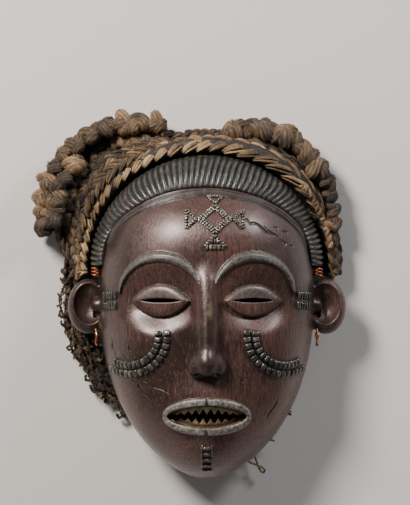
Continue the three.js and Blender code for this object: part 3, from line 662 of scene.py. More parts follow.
def wood_look():
    """Dark rubbed wood with a rosy sheen, blackened reliefs, dusty creases and ochre teeth, with painted
    shade in the creases and by the teeth and a grey painted sheen on the upper lids.
    """
    n = Nodes("carved_wood")
    patches = n.noise(14.0, 4.0)
    broad = n.noise(5.5, 2.0)
    grain = n.noise(1.0, 4.0, n.place((700, 45, 700)), 0.62)
    fine = n.noise(1.0, 2.0, n.place((2600, 160, 2600)), 0.6)
    speck = n.noise(160.0, 4.0)
    color = n.ramp(
        patches,
        (0.3, (0.016, 0.0085, 0.0065)),
        (0.5, (0.036, 0.0185, 0.0155)),
        (0.7, (0.076, 0.041, 0.036)),
    )
    rosy = n.times(n.span(broad, 0.42, 0.66), 0.7)
    color = n.mix(rosy, color, (0.165, 0.067, 0.057))
    color = n.mix(n.span(grain, 0.42, 0.64, 0.0, 0.75), color, (0.014, 0.008, 0.0065))
    color = n.mix(n.span(fine, 0.54, 0.72, 0.0, 0.5), color, (0.19, 0.14, 0.12))
    slanted = n.place((900, 60, 900), (0, 0, 0.9))
    upright = n.place((1100, 40, 1100), (0, 0, -0.25))
    scratch = n.span(n.noise(1.0, 1.0, slanted, 0.5), 0.68, 0.78)
    scratch = n.times(scratch, n.span(n.noise(22.0, 2.0), 0.5, 0.6))
    gouge = n.span(n.noise(1.0, 1.0, upright, 0.5), 0.64, 0.74)
    gouge = n.times(gouge, n.span(n.noise(17.0, 2.0), 0.56, 0.66))
    scratch = n.most(scratch, gouge)
    cut = n.times(n.span(n.value("cut"), 0.05, 0.5), n.span(speck, 0.3, 0.5, 0.6, 1.0))
    scratch = n.most(scratch, cut)
    color = n.mix(n.times(scratch, 0.9), color, (0.006, 0.004, 0.004))
    cavity = n.value("cavity")
    # Near-black in the creases where the cavity value is high: painted shade, added to the dust below
    crease_shade = n.times(n.span(cavity, 0.05, 0.6), 0.85)
    color = n.mix(crease_shade, color, (0.010, 0.007, 0.005))
    dust = n.times(n.span(cavity, 0.12, 0.75), n.span(speck, 0.42, 0.68))
    dust = n.times(dust, n.span(n.noise(26.0, 3.0), 0.42, 0.62))
    film = n.times(n.span(n.noise(30.0, 5.0), 0.6, 0.78), n.span(speck, 0.5, 0.7))
    dust = n.most(dust, n.times(film, 0.3))
    color = n.mix(n.times(dust, 0.7), color, (0.25, 0.175, 0.10))
    # Black coat on brows, grey on lips, and a grey painted sheen on the upper lids
    paint_and_sheen = n.value("paint_and_sheen")
    pits = n.noise(420.0, 3.0)
    coat = n.ramp(
        pits,
        (0.3, (0.035, 0.035, 0.033)),
        (0.55, (0.20, 0.19, 0.168)),
        (0.8, (0.36, 0.34, 0.30)),
    )
    dull = n.mix(n.span(paint_and_sheen, 0.6, 0.9), n.mix(0.72, coat, (0.020, 0.021, 0.020)), coat)
    covered = n.span(paint_and_sheen, 0.0, 0.5)
    color = n.mix(n.times(covered, n.span(pits, 0.2, 0.34)), color, dull)
    color = n.mix(n.value("pad"), color, (0.008, 0.008, 0.007))
    teeth = n.value("teeth")
    ivory = n.ramp(
        speck,
        (0.3, (0.12, 0.080, 0.042)),
        (0.5, (0.40, 0.30, 0.17)),
        (0.72, (0.62, 0.50, 0.33)),
    )
    # Teeth darker in the mouth's creases: painted shade
    ivory = n.mix(crease_shade, ivory, (0.045, 0.028, 0.016))
    color = n.mix(teeth, color, ivory)
    inside = n.value("inside")
    raw = n.mix(n.span(grain, 0.35, 0.7), (0.10, 0.062, 0.04), (0.055, 0.032, 0.022))
    color = n.mix(inside, color, raw)
    rough = n.span(n.plus(patches, n.times(fine, 0.5)), 0.5, 1.1, 0.30, 0.48)
    rough = n.plus(rough, n.times(n.most(dust, inside), 0.4), True)
    rough = n.plus(rough, n.times(teeth, 0.15), True)
    chips = n.cells(95.0)
    height = n.times(grain, 0.55)
    height = n.plus(height, n.times(fine, 0.4))
    height = n.minus(height, n.times(scratch, 0.8))
    height = n.plus(height, n.times(n.times(pits, paint_and_sheen), 0.6))
    normal = n.bump(height, 0.0004)
    facets = n.plus(n.times(inside, 0.85), 0.1)
    normal = n.bump(n.times(chips, facets), 0.002, normal)
    n.set(Base_Color=color, Roughness=rough, Normal=normal)
    n.set(Specular_Tint=(1.0, 0.84, 0.79, 1), Coat_Weight=0.36, Coat_Roughness=0.27)
    return n.material


def band_look():
    """Blackened wood: dull in the grooves, rubbed and shiny on the crests."""
    n = Nodes("blackened_wood")
    crest = n.value("crest")
    speck = n.noise(330.0, 4.0)
    cloud = n.noise(38.0, 3.0)
    worn = n.times(n.span(crest, 0.45, 1.0), n.span(cloud, 0.25, 0.75, 0.5, 1.0))
    color = n.mix(worn, (0.0045, 0.0045, 0.004), (0.037, 0.036, 0.032))
    color = n.mix(n.span(speck, 0.52, 0.72, 0.0, 0.5), color, (0.120, 0.118, 0.105))
    color = n.mix(n.span(n.noise(90.0, 3.0), 0.56, 0.74, 0.0, 0.5), color, (0.045, 0.026, 0.020))
    rough = n.span(worn, 0.0, 1.0, 0.6, 0.27)
    rough = n.plus(rough, n.span(speck, 0.4, 0.7, 0.0, 0.12))
    height = n.plus(n.times(speck, 0.6), n.noise(1.0, 3.0, n.place((900, 900, 200))))
    n.set(Base_Color=color, Roughness=rough, Normal=n.bump(height, 0.0003))
    n.set(Coat_Weight=0.3, Coat_Roughness=0.2)
    return n.material


def ledge_look():
    """Brown-grey ledge with dark dirt in its carved lines."""
    n = Nodes("carved_ledge")
    crest = n.value("crest")
    speck = n.noise(240.0, 4.0)
    cloud = n.noise(26.0, 3.0)
    color = n.mix(n.span(cloud, 0.35, 0.65), (0.040, 0.023, 0.021), (0.062, 0.053, 0.047))
    color = n.mix(n.span(crest, 0.55, 0.2), color, (0.007, 0.005, 0.005))
    color = n.mix(n.span(speck, 0.55, 0.75, 0.0, 0.5), color, (0.13, 0.12, 0.105))
    rough = n.span(speck, 0.3, 0.7, 0.32, 0.5)
    n.set(Base_Color=color, Roughness=rough, Normal=n.bump(speck, 0.0004))
    return n.material


def stud_look():
    """Rubbed black studs; those of the forehead sign are brighter."""
    n = Nodes("blackened_studs")
    tone = n.value("tone")
    speck = n.noise(300.0, 4.0)
    dark = n.ramp(
        speck, (0.3, (0.012, 0.013, 0.012)), (0.55, (0.045, 0.047, 0.043)), (0.8, (0.11, 0.112, 0.10))
    )
    bright = n.ramp(
        speck, (0.3, (0.020, 0.018, 0.015)), (0.5, (0.13, 0.12, 0.10)), (0.75, (0.36, 0.33, 0.28))
    )
    color = n.mix(n.span(tone, 0.3, 0.8), dark, bright)
    rough = n.span(speck, 0.3, 0.8, 0.3, 0.15)
    n.set(Base_Color=color, Roughness=rough, Normal=n.bump(speck, 0.0005))
    n.set(Metallic=0.45, Coat_Weight=0.3, Coat_Roughness=0.2)
    return n.material


def fibre_look():
    """Plant fibre: each strand has its own tone, with fine lines along it."""
    n = Nodes("plant_fibre")
    tone, along, around = n.value("tone"), n.value("along"), n.value("around")
    combined = n.node("ShaderNodeCombineXYZ")
    n.put(combined.inputs[0], n.times(around, 11.0))
    n.put(combined.inputs[1], n.times(along, 0.16))
    n.put(combined.inputs[2], n.noise(30.0, 1.0))
    lines = n.noise(1.0, 3.0, combined.outputs[0], 0.7)
    spots = n.noise(120.0, 4.0)
    patch = n.noise(24.0, 3.0)
    shade = n.times(n.minus(lines, 0.5), 1.1)
    shade = n.plus(shade, n.times(n.minus(spots, 0.5), 0.6))
    shade = n.plus(shade, n.times(n.minus(patch, 0.5), 0.9))
    shade = n.times(shade, n.span(tone, 0.04, 0.25, 0.1, 1.0))
    shade = n.plus(tone, shade, True)
    color = n.ramp(
        shade,
        (0.0, (0.006, 0.005, 0.004)),
        (0.25, (0.022, 0.015, 0.0095)),
        (0.5, (0.086, 0.056, 0.032)),
        (0.75, (0.228, 0.147, 0.072)),
        (1.0, (0.490, 0.338, 0.180)),
    )
    warm = n.span(n.noise(34.0, 2.0), 0.58, 0.72, 0.0, 0.35)
    color = n.mix(n.times(warm, n.span(tone, 0.1, 0.4)), color, (0.23, 0.085, 0.035))
    rough = n.plus(n.span(lines, 0.3, 0.7, 0.7, 0.42), n.span(tone, 0.2, 0.05, 0.0, 0.4), True)
    n.set(Base_Color=color, Roughness=rough, Normal=n.bump(lines, 0.0013))
    return n.material


def copper_look():
    n = Nodes("copper_wire")
    tarnish = n.noise(260.0, 3.0)
    color = n.mix(n.span(tarnish, 0.45, 0.7), (0.78, 0.33, 0.15), (0.25, 0.09, 0.045))
    n.set(Base_Color=color, Roughness=n.span(tarnish, 0.3, 0.7, 0.22, 0.45))
    n.set(Normal=n.bump(tarnish, 0.0001), Metallic=1.0)
    return n.material


def floor_look():
    n = Nodes("floor")
    cloud = n.noise(3.0, 3.0)
    color = n.mix(cloud, (0.60, 0.59, 0.57), (0.64, 0.63, 0.61))
    n.set(Base_Color=color, Roughness=0.9)
    return n.material


wood_material = wood_look()
band_material = band_look()
ledge_material = ledge_look()
stud_material = stud_look()
fibre_material = fibre_look()
copper_material = copper_look()
floor_material = floor_look()


def settle(points):
    """Moves points onto the wood's surface; returns them with the outward normals there."""
    step = 0.25
    for _ in range(2):
        x, y, z = points.T
        here = wood_distance(x, y, z)
        slope = stack(
            wood_distance(x + step, y, z) - wood_distance(x - step, y, z),
            wood_distance(x, y + step, z) - wood_distance(x, y - step, z),
            wood_distance(x, y, z + step) - wood_distance(x, y, z - step),
        ) / (2 * step)
        size = (slope**2).sum(1, keepdims=True)
        move = -here[:, None] * slope / np.maximum(size, 0.3)
        points = points + np.clip(move, -0.35, 0.35)
    return points, slope / np.sqrt(np.maximum(size, 1e-6))


def wood_values(points, normals):
    """Where the wood is blackened, hollowed, dusty or a tooth, for each point; the upper lids get a grey
    painted sheen, and the cavity value also sets painted shade in the creases.
    """
    x, y, z = points.T
    front = normals[:, 2] > -0.2
    cover, _ = brow_cover(x, y)
    paint_and_sheen = 0.6 * smooth(-0.02, 0.1, cover)
    off, _ = arc_place(x, y, (0, MOUTH_Y), MOUTH_RADII)
    paint_and_sheen = np.maximum(paint_and_sheen, smooth(0.05, -0.35, np.abs(off) - 0.5 * lip_width(x, y)))
    reach, angle = arc_place(np.abs(x), y, SCAR_CENTRE, (SCAR_RADIUS, SCAR_RADIUS))
    angle = angle % 360
    pad = np.where((angle > 169) & (angle < 301), smooth(6.3, 5.5, np.abs(reach)), 0)
    temple = smooth(5.6, 5.0, np.abs(np.abs(x) - TEMPLE_X)) * smooth(7.4, 6.8, np.abs(y + 0.4))
    pad = np.maximum(pad, 0.8 * temple) * smooth(26, 30, z)
    depth = skin_height(x, y) - z
    share = np.minimum(1, np.abs(x) / GUM_HALF)
    gum = np.abs(y - MOUTH_Y) < 8.6 * (1 - share**2.2)
    teeth = np.where(gum & (depth > 1.2) & (depth < 16), 1.0, 0.0)
    paint_and_sheen = paint_and_sheen * np.where(front & (depth < 2.0), 1, 0) * (1 - teeth)
    inside = smooth(2.0, 0.6, np.abs(head_distance(x, y, z, -WALL)))
    inside = np.maximum(inside, np.where(z < 0.2, 1, 0)) * (1 - teeth)
    reach = 2.6
    open_air = wood_distance(*(points + normals * reach).T)
    carved = np.maximum(smooth(28, 38, z), smooth(HALF - 5, HALF - 2, np.abs(x)))
    cavity = np.clip(1 - open_air / reach, 0, 1) * carved
    cut = cuts(x, y) * smooth(26, 32, z) * front
    # Grey coat on the upper half of each lid: painted sheen where light catches the lids
    _, lid = lid_place(x, y)
    over = smooth(1.0, 0.9, np.abs(lid)) * smooth(0.0, 0.2, lid) * np.where(depth < -1.0, 1, 0)
    paint_and_sheen = np.maximum(paint_and_sheen, 0.3 * over)
    values = {"paint_and_sheen": paint_and_sheen, "pad": pad, "teeth": teeth}
    return values | {"inside": inside, "cavity": cavity, "cut": cut}


def add_wood():
    points, triangles, quads = wood_surface()
    bare = make_piece("wood_carving", points, (triangles, quads), wood_material)
    faces = len(triangles) + 2 * len(quads)
    thinner = bare.modifiers.new("thinner", "DECIMATE")
    thinner.ratio = min(1, WOOD_FACES / faces)
    graph = bpy.context.evaluated_depsgraph_get()
    mesh = bpy.data.meshes.new_from_object(bare.evaluated_get(graph))
    bare.modifiers.clear()
    bare.data = mesh
    flat = np.zeros(len(mesh.vertices) * 3, np.float32)
    mesh.vertices.foreach_get("co", flat)
    points, normals = settle(flat.reshape(-1, 3) * 1000.0 - SHIFT)
    mesh.vertices.foreach_set("co", to_row(points).astype(np.float32).ravel())
    mark_points(mesh, wood_values(points, normals))
    mesh.update()
    finish_piece(bare, "wooden_mask")


def band_front(degrees, inset=0.0):
    """The headband's front edge, moved inward by the inset, and the head's reach to each side."""
    inner = degrees + 3.6 * sind(2 * degrees)
    x = (HALF - 2 - inset) * cosd(inner)
    y = BAND_FOOT + (BAND_RISE - BAND_WIDTH - inset) * sind(inner)
    return x, y, 0.985 * half_width(y)


def band_edges(degrees):
    """Front and back edge of the headband; degrees run from the right end over the top."""
    x, y, reach = band_front(degrees)
    z = skin_height(np.clip(x, -reach, reach), y) + 1
    back_x = (HALF + 3) * cosd(degrees)
    back_y = BAND_FOOT + BAND_RISE * sind(degrees)
    return stack(x, y, z), stack(back_x, back_y, z - BAND_DROP - 4 * np.abs(cosd(degrees)))


def band_point(degrees, across, lift=0.0):
    """Points of the headband's roll, lifted along its arch."""
    front, back = band_edges(degrees)
    along = band_edges(degrees + 1)[1] - band_edges(degrees - 1)[1]
    out = unit(np.cross(along, back - front))
    facing = out[..., 0] * back[..., 0] + out[..., 1] * (back[..., 1] - BAND_FOOT)
    out = np.where((facing + out[..., 2] * HALF < 0)[..., None], -out, out)
    arch = power(np.sin(np.pi * np.clip(across, 0, 1)), 0.7)
    across = np.asarray(across)[..., None]
    return front + (back - front) * across + out * (arch * (BAND_BULGE + lift))[..., None]


def grid_faces(rows, columns, wrap=False):
    """Quads of a grid of rows by columns of points; wrap joins the last column to the first."""
    i = np.arange(rows - 1)[:, None] * columns
    j = np.arange(columns if wrap else columns - 1)[None]
    k = (j + 1) % columns
    return stack(i + j, i + k, i + columns + k, i + columns + j).reshape(-1, 4)


def ring_solid(ring):
    """Points and faces of a solid through rows of closed rings, shut at both ends."""
    rows, count = ring.shape[:2]
    here = np.arange(1, count - 1)
    last = (rows - 1) * count
    ends = np.concatenate([stack(here + 1, here, 0), stack(last, last + here, last + here + 1)])
    return ring.reshape(-1, 3), (ends, grid_faces(rows, count, wrap=True))


def add_headband():
    samples = 11
    steps = RIDGES * samples
    columns = 26
    turns = BAND_START + BAND_SWEEP * np.arange(steps + 1) / steps
    across = np.linspace(0, 1, columns)
    turn, share = np.meshgrid(turns, across, indexing="ij")
    phase = (turn - BAND_START) / BAND_SWEEP * RIDGES
    phase = phase + 0.8 * (share - 0.5) + 0.12 * np.sin(6 * share + turn / 9)
    number = np.clip(np.floor(phase), 0, RIDGES).astype(int)
    worn = rng.normal(0, 0.16, RIDGES + 2)
    crest = power(1 - np.abs(2 * (phase % 1) - 1) ** 2, 0.7)
    lift = -2.1 + (3.1 + worn[number]) * crest
    top = band_point(turn, share, lift)
    middle = band_point(turns, np.full_like(turns, 0.5))
    root = middle * [0.84, 0.84, 1] + [0, 0.16 * BAND_FOOT, -6]
    under = top[:, -1:] + (root[:, None] - top[:, -1:]) * np.array([0.5, 1.0])[None, :, None]
    points, faces = ring_solid(np.concatenate([top, under], 1))
    groove = np.concatenate([crest, np.zeros((steps + 1, 2))], 1).ravel()
    piece = make_piece("headband", points, faces, band_material, {"crest": groove})
    finish_piece(piece, "wooden_mask")


def add_ledge():
    """The flat ledge with fine carved lines between the headband and the forehead."""
    steps, columns = 300, 41
    turns = np.linspace(6, 174, steps)
    turn, share = np.meshgrid(turns, np.linspace(0, 1, columns), indexing="ij")
    x, y, reach = band_front(turn, 9.0 * power(sind(turn), 0.5) * share - 1.5)
    x = np.clip(x, -reach, reach)
    drift = share + 0.03 * np.sin(turn / 11) + 0.012 * np.sin(turn / 3.1)
    line = 0.22 * np.cos(2 * np.pi * drift * 6) + 0.16 * np.cos(2 * np.pi * drift * 9.3 + turn / 19)
    line = line - 0.35 * smooth(0.12, 0.02, np.abs(share - 0.86))
    edge = power(np.minimum(1, 9 * np.minimum(share, 1 - share)), 0.5)
    top = on_skin(x, y, (0.8 + line) * edge - 0.25)
    points = top.reshape(-1, 3)
    under = on_skin(x, y, np.full_like(x, -1.5)).reshape(-1, 3)
    top_faces = grid_faces(steps, columns)
    low_faces = top_faces[:, ::-1] + len(points)
    border = np.concatenate(
        [
            np.arange(columns),
            np.arange(1, steps) * columns + columns - 1,
            (steps - 1) * columns + np.arange(columns - 1)[::-1],
            np.arange(1, steps - 1)[::-1] * columns,
        ]
    )
    beyond = np.roll(border, -1)
    wall = stack(beyond, border, border + len(points), beyond + len(points))
    faces = np.concatenate([top_faces, low_faces, wall])
    values = {"crest": np.concatenate([(0.5 + line).ravel(), np.zeros(len(under))])}
    faces = (np.zeros((0, 3), int), faces)
    piece = make_piece("band_ledge", np.concatenate([points, under]), faces, ledge_material, values)
    finish_piece(piece, "wooden_mask")


def stud_path(bundle, x, y, count, width, raise_, fill=0.82, tone=0.4):
    """Raised blocks in a row on the skin, along a line given as seen from the front."""
    line = on_skin(x, y)
    length = lengths(line)
    pitch = length[-1] / count
    for k in range(count):
        at = (k + 0.5) * pitch
        here, ahead = (
            np.array([np.interp(v, length, line[:, a]) for a in range(3)]) for v in (at - 0.3, at + 0.3)
        )
        middle = (here + ahead) / 2
        normal = skin_normal(middle[0:1], middle[1:2])[0]
        along = unit(ahead - here)
        normal = unit(normal + rng.normal(0, 0.07, 3))
        across = unit(np.cross(normal, along))
        along = np.cross(across, normal)
        size = np.array([0.5 * fill * pitch, 0.5 * width, raise_]) * rng.uniform(0.93, 1.05, 3)
        bundle.block(middle, (along, across, normal), size, tone + rng.normal(0, 0.06))


def stud_row(bundle, start, end, *shape, **tone):
    """A straight row of studs from start to end; the rest is as for stud_path."""
    stud_path(bundle, *np.linspace(start, end, 200).T, *shape, **tone)


def add_studs():
    """The studded scars on cheeks and temples, the forehead sign and the chin marks."""
    bundle = Strands()
    for sign in (-1, 1):
        for reach, count in ((SCAR_RADIUS - SCAR_ROW, 14), (SCAR_RADIUS + SCAR_ROW, 16)):
            turn = np.linspace(172, 298, 200)
            x = sign * (SCAR_CENTRE[0] + reach * cosd(turn))
            stud_path(bundle, x, SCAR_CENTRE[1] + reach * sind(turn), count, 5.0, 2.2, 0.84, 0.5)
        for y in (2.8, -4.4):
            stud_row(bundle, (sign * (TEMPLE_X - 5), y + 1.0), (sign * (TEMPLE_X + 5), y), 6, 5.8, 1.9, 0.76)
    half = np.array([1.08, 0.92])
    for reach, count, wide in ((7.9, 6, 2.3), (10.6, 8, 2.5)):
        corners = SIGN_CENTRE + half * reach * np.array([(1, 0), (0, 1), (-1, 0), (0, -1)])
        for corner, following in zip(corners, np.roll(corners, -1, 0)):
            stud_row(bundle, corner, following, count, wide, 1.5, 0.86, tone=0.75)
    for turn, height, wide in ((0, 7.0, 13.0), (90, 5.0, 11.0), (180, 7.0, 13.5), (270, 8.5, 14.5)):
        away = stack(cosd(turn), sind(turn))
        aside = np.array([-away[1], away[0]])
        apex = SIGN_CENTRE + half * 12.0 * away
        left, right = (apex + away * height + aside * wide / 2 * k for k in (-1, 1))
        stud_row(bundle, apex, left, 5, 2.3, 1.7, 0.86, tone=0.7)
        stud_row(bundle, apex, right, 5, 2.3, 1.7, 0.86, tone=0.7)
        if turn == 270:
            middle = apex + away * height * 0.5
            stud_row(bundle, left, right, 5, 3.8, 1.6, 0.8, tone=0.75)
            stud_row(bundle, middle - aside * 3.0, middle + aside * 3.0, 3, 3.0, 1.3, tone=0.6)
        else:
            stud_row(bundle, left, right, 7, 2.4, 1.7, 0.86, tone=0.7)
    for k in range(5):
        y = -103.5 - 4.3 * k
        stud_row(bundle, (-2.9, y), (2.9, y), 1, 1.9, 1.5, 1.0, tone=0.6)
        for x in (-3.5, 3.5):
            stud_row(bundle, (x, y + 2.2), (x, y - 2.2), 1, 1.2, 1.5, 1.0, tone=0.6)
    bundle.finish("studded_scars", stud_material, "wooden_mask")


# Half widths of the front plait and the knotted braids, the cap's height at its edge, and the
# middle and half axes of the wig's two lobes
PLAIT = 6.8
KNOT = 8.2
CAP_EDGE = 17.0
LOBES = {"left": (-48.0, 61.0, 71.0, 67.0), "right": (29.0, 61.0, 62.0, 65.0)}
SEEN = np.array([1, 1, 0])

# Rows of knots: inset, height, size, count, and first and last share of the braid's length
KNOT_ROWS = {
    "left": (
        (-0.5, 23, 8.8, 6, 0.0, 0.5),
        (3.0, 10, 8.8, 6, 0.0, 0.52),
        (12.0, 19, 6.4, 3, 0.06, 0.3),
        (13.0, 12, 6.0, 3, 0.3, 0.55),
        (-1.8, 22, 7.4, 6, 0.5, 0.98),
        (8.6, 27, 7.6, 5, 0.5, 0.95),
        (16.5, 16, 6.6, 5, 0.54, 0.92),
        (-1.0, 11, 7.2, 6, 0.5, 0.98),
        (15.0, 12, 6.6, 5, 0.52, 0.94),
    ),
    "right": (
        (1.0, 23, 9.6, 7, 0.0, 0.66),
        (4.0, 10, 9.0, 6, 0.02, 0.68),
        (14.0, 18, 7.0, 6, 0.05, 0.62),
        (-1.0, 20, 7.0, 4, 0.66, 0.96),
        (2.0, 9, 7.4, 4, 0.66, 0.98),
        (12.0, 16, 6.4, 5, 0.6, 0.92),
    ),
}


def plait_centre(degrees):
    back = band_edges(degrees)[1]
    low, high = PLAIT + 4, back[..., 2] - 2
    height = (low + high + np.hypot(high - low, 12)) / 2
    x = back[..., 0] + (PLAIT + 4.5) * cosd(degrees)
    y = back[..., 1] + (PLAIT + 1.5) * sind(degrees)
    return stack(x, y, height)


def wig_edge(degrees):
    """The wig's outline: the outermost of the two lobes and the plait on a ray from the band."""
    ray_x, ray_y = cosd(degrees), sind(degrees)
    rim = plait_centre(degrees)
    reach = np.hypot(rim[..., 0], rim[..., 1] - BAND_FOOT) + PLAIT
    for lobe_x, lobe_y, across, up in LOBES.values():
        across, up = across - 0.8 * KNOT, up - 0.8 * KNOT
        start_x, start_y = -lobe_x / across, (BAND_FOOT - lobe_y) / up
        step_x, step_y = ray_x / across, ray_y / up
        a = step_x**2 + step_y**2
        b = start_x * step_x + start_y * step_y
        c = start_x**2 + start_y**2 - 1
        root = np.sqrt(np.maximum(b * b - a * c, 0))
        reach = np.where(b * b > a * c, np.maximum(reach, (root - b) / a), reach)
    return stack(reach * ray_x, BAND_FOOT + reach * ray_y, 0)


def cap_point(degrees, share, lift):
    """A place on the cap: share 0 at the front plait, 1 at the wig's edge."""
    rim, edge = plait_centre(degrees), wig_edge(degrees)
    height = rim[..., 2] + (CAP_EDGE - rim[..., 2]) * share**1.5
    place = rim + (edge - rim) * 0.93 * share[..., None]
    place[..., 2] = height + lift
    return place


def along_path(path, normals):
    """The path's length, and a function for places at a length along, across and above it."""
    path = np.asarray(path, float)
    length = lengths(path)
    side = unit(np.cross(unit(np.gradient(path, axis=0)), normals))
    rise = unit(np.cross(side, np.gradient(path, axis=0)))

    def at(along, across=0.0, above=0.0):
        point, aside, up = (
            stack(*(np.interp(along, length, rows[:, k]) for k in range(3)))
            for rows in (path, side, rise)
        )
        across, above = (np.broadcast_to(v, np.shape(along))[..., None] for v in (across, above))
        return point + aside * across + up * above, up

    return length[-1], at


def lock(bundle, at, begin, run, across, wide, height, tone, cords):
    """A lock of parallel cords that slants over a plait between its two ends' places across."""
    share = np.linspace(0, 1, 9)
    arch = np.sin(np.pi * share)
    change = across[1] - across[0]
    size = math.hypot(run, change)
    thin = wide / cords * rng.uniform(1.15, 1.4)
    for c in range(cords):
        slot = (c - (cords - 1) / 2) / (cords / 2) + rng.normal(0, 0.08)
        spread = slot * wide * (0.45 + 0.55 * arch)
        along = begin + run * (share + rng.normal(0, 0.02)) - spread * change / size
        aside = across[0] + change * smooth(-0.15, 1.15, share) + spread * run / size
        above = height[0] + height[1] * arch**0.7 * (1 - 0.45 * slot * slot) + rng.normal(0, 0.12)
        place, up = at(along, aside, above)
        girth = thin * (0.4 + 0.6 * arch**0.5)
        bundle.sweep(place, girth, 6, up, 0.85, tone=tone + rng.normal(0, 0.1))


def plait(bundle, path, normals, shares, half, step, slope, tones, cords):
    """Locks in two slanting rows; a table gives its values at the shares, a number the same at all."""
    total, at = along_path(path, normals)
    tables = [np.broadcast_to(table, len(shares)) for table in (half, step, slope, *tones)]
    begin = -2.0
    while begin < total - 2:
        values = (float(np.interp(begin / total, shares, table)) for table in tables)
        reach, pitch, slant, inner, outer = values
        run = slant * reach
        wide = 0.62 * pitch * 1.35 / math.hypot(slant, 1.35)
        for hand, offset, tone in ((1, 0.0, inner), (-1, 0.5, outer)):
            first = begin + offset * pitch - 0.3 * run + rng.normal(0, 0.06) * pitch
            ends = (hand * reach * rng.uniform(0.9, 1.04), -hand * reach * rng.uniform(0.2, 0.45))
            height = (0.05 * reach, 0.5 * reach * rng.uniform(0.85, 1.15))
            lock(bundle, at, first, run, ends, wide, height, tone + rng.normal(0, 0.09), cords)
        begin += pitch * rng.uniform(0.9, 1.1)


# A dark cord under a plait's locks, so that the gaps between them show dark: painted shade
def shade_core(bundle, path, radius, tone=0.03):
    bundle.sweep(path, radius, 10, flat=0.8, tone=tone)


def loose_fibres(bundle, places, outs, reach, tone, count=1):
    """Thin hairs that stand off the hair's surface and curl back."""
    for place, out in zip(places, outs):
        for _ in range(count):
            lean = unit(np.asarray(out, float) * 0.8 + rng.normal(0, 0.6, 3))
            curl = rng.normal(0, 0.7, 3)
            share = np.linspace(0, 1, 6)[:, None]
            size = reach * rng.uniform(0.5, 1.0)
            path = place + lean * size * share + curl * size * 0.5 * share**2
            path[:, 2] = np.maximum(path[:, 2], 0.6)
            bundle.sweep(path, 0.17 * (1.15 - share[:, 0]), 3, (0.3, 0.2, 1), tone=tone)


def braid(bundle, path, width, pitch, tone, thick=0.5, sides=5):
    """Two strands that twist round each other along a path; width is half the cord's."""
    tangent = unit(np.gradient(path, axis=0))
    side = unit(np.cross(tangent, (0, 0, 1.0)))
    rise = np.cross(side, tangent)
    for start in (0, np.pi):
        phase = start + np.pi * lengths(path)[:, None] / pitch
        middle = path + 0.5 * width * (np.sin(phase) * side + np.cos(phase) * rise)
        bundle.sweep(middle, width * thick, sides, flat=0.9, tone=tone + rng.normal(0, 0.12))


def add_front_plait():
    """The thick light plait: short slanting locks on the left, long ribbons on the right."""
    turns = np.linspace(188, -8, 430)
    path = plait_centre(turns)
    out = unit(stack(cosd(turns), sind(turns), 1.1))
    shares = (0.0, 0.3, 0.5, 0.62, 0.75, 0.88, 1.0)
    half = (5.8, 6.8, 7.2, 8.0, 8.0, 5.6, 3.8)
    step = (8.0, 9.0, 10.5, 13.5, 16.0, 10.0, 6.0)
    slope = (1.6, 1.8, 2.0, 2.9, 4.2, 4.0, 3.0)
    inner = (0.84, 0.9, 0.86, 0.68, 0.70, 0.62, 0.6)
    outer = (0.64, 0.68, 0.70, 0.80, 0.84, 0.74, 0.6)
    bundle = Strands()
    shade_core(bundle, path - out * 1.5, np.interp(np.linspace(0, 1, len(path)), shares, half) * 0.8, 0.15)
    plait(bundle, path - out * 1.0, out, shares, half, step, slope, (inner, outer), 5)
    total, at = along_path(path, out)
    along = np.linspace(0.745, 0.93, 60) * total
    cord, _ = at(along, 3.6 + 0.5 * np.sin(along / 5), 2.2)
    braid(bundle, cord, 2.3, 5.5, 0.66, thick=0.62, sides=8)
    for k in range(7):
        knob(bundle, cord[4 + 8 * k], cord[5 + 8 * k] - cord[3 + 8 * k], out[380], 2.7, 0.68, 0.7, 1)
    hairs = rng.uniform(0, total, 60)
    places, ups = at(hairs, rng.uniform(-5, 5, 60), 3.0)
    loose_fibres(bundle, places, ups, 5.0, 0.6)
    bundle.finish("light_plait", fibre_material, "front_plait")


def add_cap_ground():
    """The near-black ground under the cap's plaits, from the headband to the wig's edge: painted shade
    between and beside the plaits.
    """
    turns = np.linspace(-5, 185, 160)
    shares = np.linspace(-0.12, 1.06, 22)
    turn, share = np.meshgrid(turns, shares, indexing="ij")
    top = cap_point(turn, np.clip(share, 0, 1), -4.5)
    top[..., 2] -= 9 * smooth(0.93, 1.06, share)
    inner = stack(0.9 * HALF * cosd(turns), BAND_FOOT + 0.6 * BAND_RISE * sind(turns), top[:, 0, 2])
    inner, outer = inner[:, None], top[:, -1:]
    points, (ends, faces) = ring_solid(np.concatenate([inner, top, outer * SEEN, inner * SEEN], 1))
    bundle = Strands()
    # Tone near black: painted shade under and between the plaits
    bundle.add(points, faces, ends, 0.02, 0, 0)
    bundle.finish("cap_ground", fibre_material, "hair_cap")


def add_cap_wall():
    """Two plain plaits round the wig's outer wall."""
    turns = np.linspace(-6, 186, 300)
    edge, rim = wig_edge(turns), plait_centre(turns)
    ease = np.linspace(0, 1, 24)[:-1, None]
    first = rim[0] + [-6, 0, 0] + (edge[0] - rim[0]) * ease
    last = (rim[-1] + [6, 0, 0] + (edge[-1] - rim[-1]) * ease)[::-1]
    around = np.concatenate([first, edge, last])
    for _ in range(3):
        around = (around + np.roll(around, 1, 0) + np.roll(around, -1, 0))[1:-1] / 3
    bundle = Strands()
    for row, height in enumerate((6.6, 14.5)):
        path = around * SEEN + [0, 0, height]
        along = unit(np.gradient(path, axis=0))
        out = unit(stack(along[:, 1], -along[:, 0], 0.35))
        path = path - out * (2.5 + 1.5 * row)
        plait(bundle, path, out, (0, 1), 4.6, 8.5, 2.4, (0.36, 0.28), 3)
    bundle.finish("cap_wall", fibre_material, "hair_cap")


